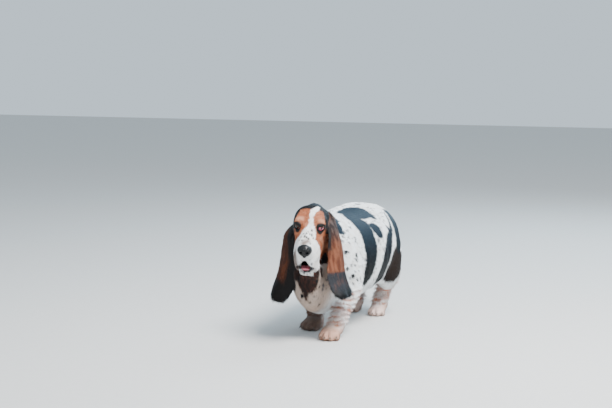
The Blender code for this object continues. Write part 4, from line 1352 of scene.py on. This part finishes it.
def eye_material():
    g = Graph("hound_eye")
    out = g.attribute("gaze")
    at = g.attribute("at", vector=True)
    iris = g.mix(g.smooth(g.noise(at, 900, 3), 0.35, 0.7), srgb(40, 22, 12), srgb(78, 44, 22))
    white = g.mix(g.noise(at, 500, 3), srgb(150, 96, 88), srgb(196, 150, 140))
    colour = g.mix(g.smooth(out, 0.62, 0.68), iris, white)
    colour = g.mix(g.smooth(out, 0.30, 0.27), colour, srgb(6, 5, 5))
    return g.finish(colour, 0.12, Specular_IOR_Level=0.25, Coat_Weight=0.5, Coat_Roughness=0.02)


def haw_material():
    g = Graph("hound_haw")
    at = g.attribute("at", vector=True)
    colour = g.mix(g.smooth(g.noise(at, 700, 3), 0.35, 0.65), srgb(214, 74, 104), srgb(236, 120, 140))
    wet = {"Coat_Weight": 1.0, "Coat_Roughness": 0.04, "Subsurface_Weight": 0.15}
    return g.finish(colour, 0.16, g.bump(g.noise(at, 900, 2), 0.0003), **wet)


def nose_material():
    g = Graph("hound_nose")
    at = g.attribute("at", vector=True)
    distance, _ = g.cells(at, 900)
    colour = g.mix(g.smooth(distance, 0.1, 0.6), srgb(4, 4, 5), srgb(10, 11, 13))
    normal = g.bump(g.times(distance, -1.0), 0.0008, 0.8)
    return g.finish(colour, 0.36, normal, Specular_IOR_Level=0.16, Coat_Weight=0.22, Coat_Roughness=0.14)


def tongue_material():
    g = Graph("hound_tongue")
    at = g.attribute("at", vector=True)
    colour = g.mix(g.smooth(g.noise(at, 160, 3), 0.3, 0.7), srgb(184, 84, 98), srgb(206, 116, 128))
    # Painted shade: the tongue goes near black at its back and its sides, inside the mouth.
    colour = g.mix(g.attribute("tongue_shade"), colour, srgb(14, 5, 7))
    normal = g.bump(g.noise(at, 1500, 2), 0.0004)
    return g.finish(colour, 0.34, normal, Coat_Weight=0.3, Coat_Roughness=0.15)


def claw_material():
    g = Graph("hound_claw")
    at = g.attribute("at", vector=True)
    grain = g.smooth(g.noise(g.stretch(at, (1, 1, 3)), 220, 2), 0.4, 0.6)
    colour = g.mix(grain, srgb(58, 48, 42), srgb(112, 94, 78))
    return g.finish(colour, 0.38, g.bump(g.noise(at, 600, 2), 0.0003), Coat_Weight=0.2, Coat_Roughness=0.2)


def dress(obj, material):
    """Gives a piece its material and the place that its texture is read at."""
    obj.data.materials.clear()
    obj.data.materials.append(material)
    if "at" not in obj.data.attributes:
        store(obj.data, "at", read_points(obj), "FLOAT_VECTOR")
    for polygon in obj.data.polygons:
        polygon.use_smooth = True
    return obj


# Eyes, nose, tongue and claws. Each haw has how far its edge is raised, and how far it is let down.
HAWS = {1: (0.0018, -0.0008), -1: (0.0012, 0.0122)}
PUPIL_BULGE = 0.0012
PUPIL_REACH = 0.0068
HAW_THICKNESS = 0.0009


def eye_piece(side, name, material):
    ball = ellipsoid(name, (0, 0, 0), (EYE_RADIUS - 0.0006,) * 3, rings=40)
    co = read_points(ball)
    out = np.hypot(co[:, 1], co[:, 2])
    front = co[:, 0] > 0
    co[:, 0] += front * np.clip(1 - (out / PUPIL_REACH) ** 2, 0, 1) * PUPIL_BULGE
    write_points(ball, co)
    store(ball.data, "gaze", np.where(front, out / EYE_RADIUS, 1.0))
    ball.data.transform(eye_axis(side))
    return dress(ball, material)


def haw_piece(side, name, material):
    """The red lining of the lower lid and the third eyelid: a shell on the eyeball, below a slanting line."""
    shell = ellipsoid(name, (0, 0, 0), (EYE_RADIUS + 0.0002,) * 3, rings=36)
    raised, drop = HAWS[side]
    with editing(shell.data) as made:
        made.normal_update()
        out = []
        for face in made.faces:
            x, y, z = face.calc_center_median()
            line = -drop + 0.0020 * math.cos(y * side * 160) - y * side * 0.35 + raised * 0.2
            if x < 0.002 or z > line:
                out.append(face)
        bmesh.ops.delete(made, geom=out, context="FACES")
        bmesh.ops.solidify(made, geom=list(made.faces), thickness=HAW_THICKNESS)
    shell.data.transform(eye_axis(side))
    return dress(shell, material)


# The nose's lumps: centre and radii. The wings are on both sides.
NOSE_LUMPS = (
    NOSE,
    ((0.1060, 0, -0.0180), (0.0125, 0.0170, 0.0120)),
    ((0.1010, 0, -0.0360), (0.0125, 0.0080, 0.0120)),
    ((0.0985, 0.0135, -0.0225), (0.0150, 0.0090, 0.0120)),
    ((0.0985, -0.0135, -0.0225), (0.0150, 0.0090, 0.0120)),
)
NOSTRIL_TURN = math.radians(24)
NOSTRIL_TOE_IN = math.radians(-22)
NOSE_SLIT = ((0.1120, 0.0150, -0.0250), (0.1040, 0.0215, -0.0285))
NOSE_WING = ((0.1130, 0.0080, -0.0160), (0.1090, 0.0160, -0.0170))
NOSE_CLEFT = ((0.1185, 0, -0.0200), (0.1160, 0, -0.0300), (0.1080, 0, -0.0440))


def nose_piece(material):
    lumps = [ellipsoid("lump", *lump, HEAD, rings=24) for lump in NOSE_LUMPS]
    nose = fuse("nose_leather", lumps, NOSE_VOXEL)
    relax(nose, 8, 0.5)
    for side in SIDES:
        turned = Matrix.Rotation(NOSTRIL_TURN * side, 4, "X") @ Matrix.Rotation(NOSTRIL_TOE_IN * side, 4, "Z")
        centre, radii = NOSTRIL
        cut_away(nose, ellipsoid("nostril", mirrored(centre, side), radii, HEAD, turned, rings=20))
        stroke(nose, [mirrored(p, side) for p in NOSE_SLIT], 0.0034, -0.0022, HEAD)
        stroke(nose, [mirrored(p, side) for p in NOSE_WING], 0.0050, 0.0012, HEAD)
    stroke(nose, NOSE_CLEFT, 0.0026, -0.0020, HEAD)
    relax(nose, 2, 0.5)
    return dress(nose, material)


TONGUE_GROOVE = ((0.010, 0, -0.090), (0.040, 0, -0.0975), (0.066, 0, -0.1040))


def tongue_piece(material):
    tongue = fuse("tongue_soft", [loft("tongue", TONGUE, frame=HEAD, around=24, along=24)], TONGUE_VOXEL)
    relax(tongue, 6, 0.5)
    stroke(tongue, TONGUE_GROOVE, 0.0050, -0.0018, HEAD)
    u, v, _ = in_head(read_points(tongue)).T
    # Where the tongue is painted dark as shade: its back and its sides.
    tongue_shade, edges = soft_step(-u, -0.068, -0.060), soft_step(np.abs(v), 0.0115, 0.0150)
    store(tongue.data, "tongue_shade", np.maximum(tongue_shade, edges))
    return dress(tongue, material)


def claws_piece(which, material):
    claws = fuse("claws_" + which, claw_forms(which), CLAW_VOXEL)
    relax(claws, 3, 0.5)
    press_feet(claws)
    return dress(claws, material)


# The coat.
LAYOUT_FACES = 6000


def lie_of_coat(co, normals):
    """The way the hair lies, along the skin: back and down on the body, down the legs and ears."""
    u, v, w = in_head(co).T
    ahead, left, up = HEAD_ARRAY[:3, :3].T
    ones = np.ones(len(co))

    def turned(lie, way, share):
        return lie * (1 - share)[:, None] + np.array(way) * share[:, None]

    lie = np.stack([0.15 * np.sign(co[:, 0] + 1e-9), 0.80 * ones, -0.55 * ones], axis=1)
    lie = turned(lie, (0, 0.35, -1.0), soft_step(-co[:, 1], 0.200, 0.270))
    lie = turned(lie, (0, 0.15, -1.0), fade(co[:, 2], 0.130, 0.060))
    lie = turned(lie, (0, -0.9, -0.4), fade(co[:, 2], 0.035, 0.015))
    lie = turned(lie, (0, 0.15, -1.0), soft_step(co[:, 1], 0.300, 0.335) * (np.abs(co[:, 0]) < 0.05))
    flew = soft_step(-w, 0.030, 0.070) * soft_step(u, -0.030, 0.010)
    face = -ahead * (1 - 0.55 * flew)[:, None] - up * (0.15 + 1.0 * flew)[:, None]
    face = face + left * (np.sign(v) * 0.25)[:, None]
    lie = turned(lie, face, head_share(co))
    lie = turned(lie, (0.03, 0.10, -1.0), fade(ear_fields(co)[0], 0.005, 0.008))
    lie -= normals * (lie * normals).sum(1)[:, None]
    return lie / np.maximum(np.linalg.norm(lie, axis=1), 1e-9)[:, None]


def bake_layout(skin):
    """An unwrap of the skin's own shape on a light copy, read at any point of the skin."""
    light = add("layout", skin.data.copy())
    reduce = light.modifiers.new("reduce", "DECIMATE")
    reduce.ratio = LAYOUT_FACES / max(len(light.data.polygons), 1)
    apply_modifiers(light)
    bpy.context.view_layer.objects.active = light
    for obj in bpy.context.selected_objects:
        obj.select_set(False)
    light.select_set(True)
    bpy.ops.object.mode_set(mode="EDIT")
    bpy.ops.mesh.select_all(action="SELECT")
    bpy.ops.uv.smart_project(angle_limit=math.radians(66), island_margin=0.004)
    bpy.ops.object.mode_set(mode="OBJECT")
    mesh = light.data
    mesh.calc_loop_triangles()
    triangles = fetch(mesh.loop_triangles, "vertices", 3, np.int64)
    corner_uv = fetch(mesh.uv_layers.active.data, "uv", 2)[fetch(mesh.loop_triangles, "loops", 3, np.int64)]
    points = read_points(light)
    tree = BVHTree.FromPolygons(points.tolist(), triangles.tolist())
    bpy.data.objects.remove(light)
    return tree, points[triangles], corner_uv


def layout_places(layout, co):
    """The place in the unwrap of the point of the skin nearest to each point."""
    tree, corners, corner_uv = layout
    found = np.array([tree.find_nearest(tuple(p))[2] for p in co])
    a, b, c = corners[found, 0], corners[found, 1], corners[found, 2]
    e1, e2, d = b - a, c - a, co - a
    d11, d12, d22 = (e1 * e1).sum(1), (e1 * e2).sum(1), (e2 * e2).sum(1)
    d31, d32 = (d * e1).sum(1), (d * e2).sum(1)
    below = np.maximum(d11 * d22 - d12 * d12, 1e-18)
    s = np.clip((d22 * d31 - d12 * d32) / below, 0, 1)
    t = np.clip((d11 * d32 - d12 * d31) / below, 0, 1)
    over = np.maximum(s + t, 1)
    s, t = (s / over)[:, None], (t / over)[:, None]
    uv = corner_uv[found]
    return uv[:, 0] * (1 - s - t) + uv[:, 1] * s + uv[:, 2] * t


# The side of each tuft's patch in the unwrap, and the patch itself, corner by corner.
PATCH = 0.003
PATCH_SHAPE = ((-0.5, -0.5), (0.5, -0.5), (-0.4, 0.1), (0.4, 0.1), (0, 0.5))
# Fields of the bare parts, where no hair grows.
BARE = ("rim", "lips", "mouth")
# Each coat piece: number of tufts, length, width, lift, and the slot of its finish.
COATS = {
    "coat_face": (46000, 0.0046, 0.0009, 0.16, "face_coat"),
    "coat_ears": (46000, 0.0085, 0.0011, 0.16, "ear_coat"),
    "coat_front": (62000, 0.0100, 0.0013, 0.17, "pale_coat"),
    "coat_middle": (62000, 0.0100, 0.0013, 0.17, "pale_coat"),
    "coat_rear": (62000, 0.0100, 0.0013, 0.17, "pale_coat"),
    "coat_paws": (26000, 0.0048, 0.0009, 0.15, "paw_coat"),
}


def coat_regions(co, fields):
    head = head_share(co) > 0.5
    ear = fields["leather"] > 0.5
    paw = (co[:, 2] < 0.045) & ~ear & ~head
    rest = ~head & ~ear & ~paw
    return {
        "coat_face": head & ~ear,
        "coat_ears": ear,
        "coat_paws": paw,
        "coat_front": rest & (co[:, 1] < -0.120),
        "coat_middle": rest & (co[:, 1] >= -0.120) & (co[:, 1] < 0.110),
        "coat_rear": rest & (co[:, 1] >= 0.110),
    }


def long_hair(co, fields):
    """How much longer the hair grows under the neck and belly, behind the thighs and on the ears' ends."""
    keel = soft_step(-co[:, 2], -0.120, -0.090) * (np.abs(co[:, 0]) < 0.06) * (co[:, 1] > -0.30)
    rump = soft_step(co[:, 1], 0.230, 0.290) * soft_step(-co[:, 2], -0.260, -0.200)
    tail = soft_step(co[:, 1], 0.340, 0.370)
    tips = fields["leather"] * soft_step(fields["down_ear"], 0.82, 0.97)
    return 1 + 0.7 * keel + 0.6 * rump + 0.7 * tail + 0.9 * tips


def grow(name, skin_data, region, layout, material):
    """The tufts of one coat piece, each a blade of five points that narrows from the root to the tip."""
    count, length, width, lift, _ = COATS[name]
    points, normals, triangles, areas, fields = skin_data
    chosen = np.nonzero(region[triangles].all(1))[0]
    weights = areas[chosen] / areas[chosen].sum()
    pick = RANDOM.choice(chosen, count, p=weights)
    a, b = RANDOM.random(count), RANDOM.random(count)
    flip = a + b > 1
    a[flip], b[flip] = 1 - a[flip], 1 - b[flip]
    share = np.stack([1 - a - b, a, b], axis=1)
    corners = triangles[pick]

    def read(values):
        return np.einsum("nk,nk...->n...", share, values[corners])

    root, normal = read(points), read(normals)
    normal /= np.maximum(np.linalg.norm(normal, axis=1), 1e-9)[:, None]
    own = {key: read(values) for key, values in fields.items()}
    keep = (own["rim"] < 0.4) & (own["lips"] < 0.4) & (own["mouth"] < 0.3)
    root, normal, count = root[keep], normal[keep], int(keep.sum())
    own = {key: value[keep] for key, value in own.items()}
    lie = lie_of_coat(root, normal)
    across = np.cross(normal, lie)
    turn = RANDOM.normal(0, 0.22, count)[:, None]
    lie = lie * np.cos(turn) + across * np.sin(turn)
    across = np.cross(normal, lie)
    size = RANDOM.uniform(0.7, 1.25, count)[:, None] * long_hair(root, own)[:, None]
    reach = length * size
    wide = across * (width * RANDOM.uniform(0.7, 1.2, count)[:, None] / 2)
    rise = lift * RANDOM.uniform(0.5, 1.35, count)[:, None]
    base = root - normal * 0.0004
    middle = root + lie * reach * 0.5 + normal * reach * rise * 0.75
    tip = root + lie * reach + normal * reach * rise
    tip += across * reach * RANDOM.normal(0, 0.08, count)[:, None]
    corners = np.stack([base - wide, base + wide, middle - wide * 0.8, middle + wide * 0.8, tip], axis=1)
    corners[..., 2] = np.maximum(corners[..., 2], 0.0002)
    first = np.arange(count)[:, None] * 5
    faces = np.concatenate([first + (0, 1, 3), first + (0, 3, 2), first + (2, 3, 4)], axis=1).reshape(-1, 3)
    mesh = bpy.data.meshes.new(name)
    mesh.vertices.add(count * 5)
    mesh.vertices.foreach_set("co", corners.astype(np.float32).ravel())
    mesh.loops.add(len(faces) * 3)
    mesh.loops.foreach_set("vertex_index", faces.ravel().astype(np.int32))
    mesh.polygons.add(len(faces))
    mesh.polygons.foreach_set("loop_start", np.arange(0, len(faces) * 3, 3, dtype=np.int32))
    mesh.update(calc_edges=True)
    store(mesh, "at", np.repeat(root, 5, axis=0), "FLOAT_VECTOR")
    for key, values in own.items():
        if key not in BARE:
            store(mesh, key, np.repeat(values, 5))
    store(mesh, "reach", np.tile((0.0, 0.0, 0.5, 0.5, 1.0), count))
    store(mesh, "shade", np.repeat(RANDOM.random(count), 5))
    centre = np.clip(layout_places(layout, root), PATCH, 1 - PATCH)
    uv = (centre[:, None] + np.array(PATCH_SHAPE) * PATCH).reshape(-1, 2)[faces.ravel()]
    mesh.uv_layers.new(name="OFBake").data.foreach_set("uv", uv.astype(np.float32).ravel())
    return dress(add(name, mesh), material)


def grow_coat(skin, fields):
    mesh = skin.data
    mesh.calc_loop_triangles()
    triangles = fetch(mesh.loop_triangles, "vertices", 3, np.int64)
    areas = fetch(mesh.loop_triangles, "area")
    points = read_points(skin)
    data = (points, read_normals(skin), triangles, areas, fields)
    layout = bake_layout(skin)
    material = coat_material()
    regions = coat_regions(points, fields)
    return [grow(name, data, regions[name], layout, material) for name in COATS]


# The stage: a pale level floor, soft light from above, a cool one from behind, a weak one from the right.
CAMERA_PLACE = Vector((1.7927, -4.3149, 0.90))
CAMERA_TURN = math.radians(24)
# How far the horizon lies above the middle of the view, and the lens's length, both in pixels of the view.
HORIZON_RISE = 204 - 48
LENS_PIXELS = 1445
CAMERA_TILT = math.atan(HORIZON_RISE / LENS_PIXELS)
CAMERA_LENS = 85.0
SENSOR_WIDTH = 36
FLOOR = ((-12, -9, -0.0005), (12, -9, -0.0005), (12, 12, -0.0005), (-12, 12, -0.0005))
WORLD_COLOUR = (0.75, 0.89, 1.0, 1)
WORLD_STRENGTH = 0.95
# Each light: place, target, size, power and colour.
LIGHTS = {
    "key": ((1.7, -0.9, 3.0), (0, 0, 0.2), 1.5, 325, (1.0, 0.99, 0.98)),
    "sky": ((0.6, 2.6, 2.4), (0, 0.1, 0.3), 2.6, 100, (0.62, 0.84, 1.0)),
    "fill": ((-2.4, -3.0, 1.6), (0, -0.2, 0.2), 2.4, 24, (0.95, 0.97, 1.0)),
}


def make_stage():
    g = Graph("studio_floor")
    speckle = g.noise(g.nodes.new("ShaderNodeTexCoord").outputs["Object"], 40, 2)
    g.finish(g.mix(speckle, srgb(196, 195, 193), srgb(202, 201, 199)), 0.85)
    mesh = bpy.data.meshes.new("floor")
    mesh.from_pydata(FLOOR, [], [(0, 1, 2, 3)])
    mesh.materials.append(g.material)
    add("floor", mesh)


def light_scene():
    world = bpy.data.worlds.new("studio")
    world.use_nodes = True
    background = world.node_tree.nodes["Background"]
    background.inputs["Color"].default_value = WORLD_COLOUR
    background.inputs["Strength"].default_value = WORLD_STRENGTH
    bpy.context.scene.world = world
    for name, (place, target, size, power, colour) in LIGHTS.items():
        light = bpy.data.lights.new(name, "AREA")
        light.shape = "DISK"
        light.size = size
        light.energy = power
        light.color = colour
        obj = add(name, light)
        obj.location = place
        obj.rotation_euler = (Vector(target) - Vector(place)).to_track_quat("-Z", "Y").to_euler()


def make_camera():
    camera = bpy.data.cameras.new("view")
    camera.lens = CAMERA_LENS
    camera.sensor_width = SENSOR_WIDTH
    obj = add("view", camera)
    obj.location = CAMERA_PLACE + ORIGIN_SHIFT
    obj.rotation_euler = (math.pi / 2 - CAMERA_TILT, 0, CAMERA_TURN)
    bpy.context.scene.camera = obj


FLESH = (
    "head lower_jaw neck torso tail ear_left ear_right front_left_leg front_right_leg hind_left_leg "
    "hind_right_leg paw_front_left paw_front_right paw_hind_left paw_hind_right"
).split()


def main():
    skin = build_skin()
    fields = skin_fields(read_points(skin))
    for name, values in fields.items():
        store(skin.data, name, values)
    pieces = [(dress(skin, skin_material()), "pale_coat", FLESH)]
    for coat in grow_coat(skin, fields):
        pieces.append((coat, COATS[coat.name][-1], ()))
    eye, haw, claw = eye_material(), haw_material(), claw_material()
    for side, word in SIDES.items():
        pieces.append((eye_piece(side, "eyeball_" + word, eye), "eye", ("eye_" + word,)))
    for side, word in SIDES.items():
        pieces.append((haw_piece(side, "haw_" + word, haw), "eye", ()))
    pieces.append((nose_piece(nose_material()), "nose", ("nose",)))
    pieces.append((tongue_piece(tongue_material()), "tongue", ("tongue",)))
    for which in PAWS:
        pieces.append((claws_piece(which, claw), "paw_coat", ()))
    for piece, slot, nodes in pieces:
        piece.data.transform(Matrix.Translation(ORIGIN_SHIFT))
        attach(piece, "root")
        if nodes:
            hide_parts(*nodes)
    make_stage()
    light_scene()
    make_camera()


main()
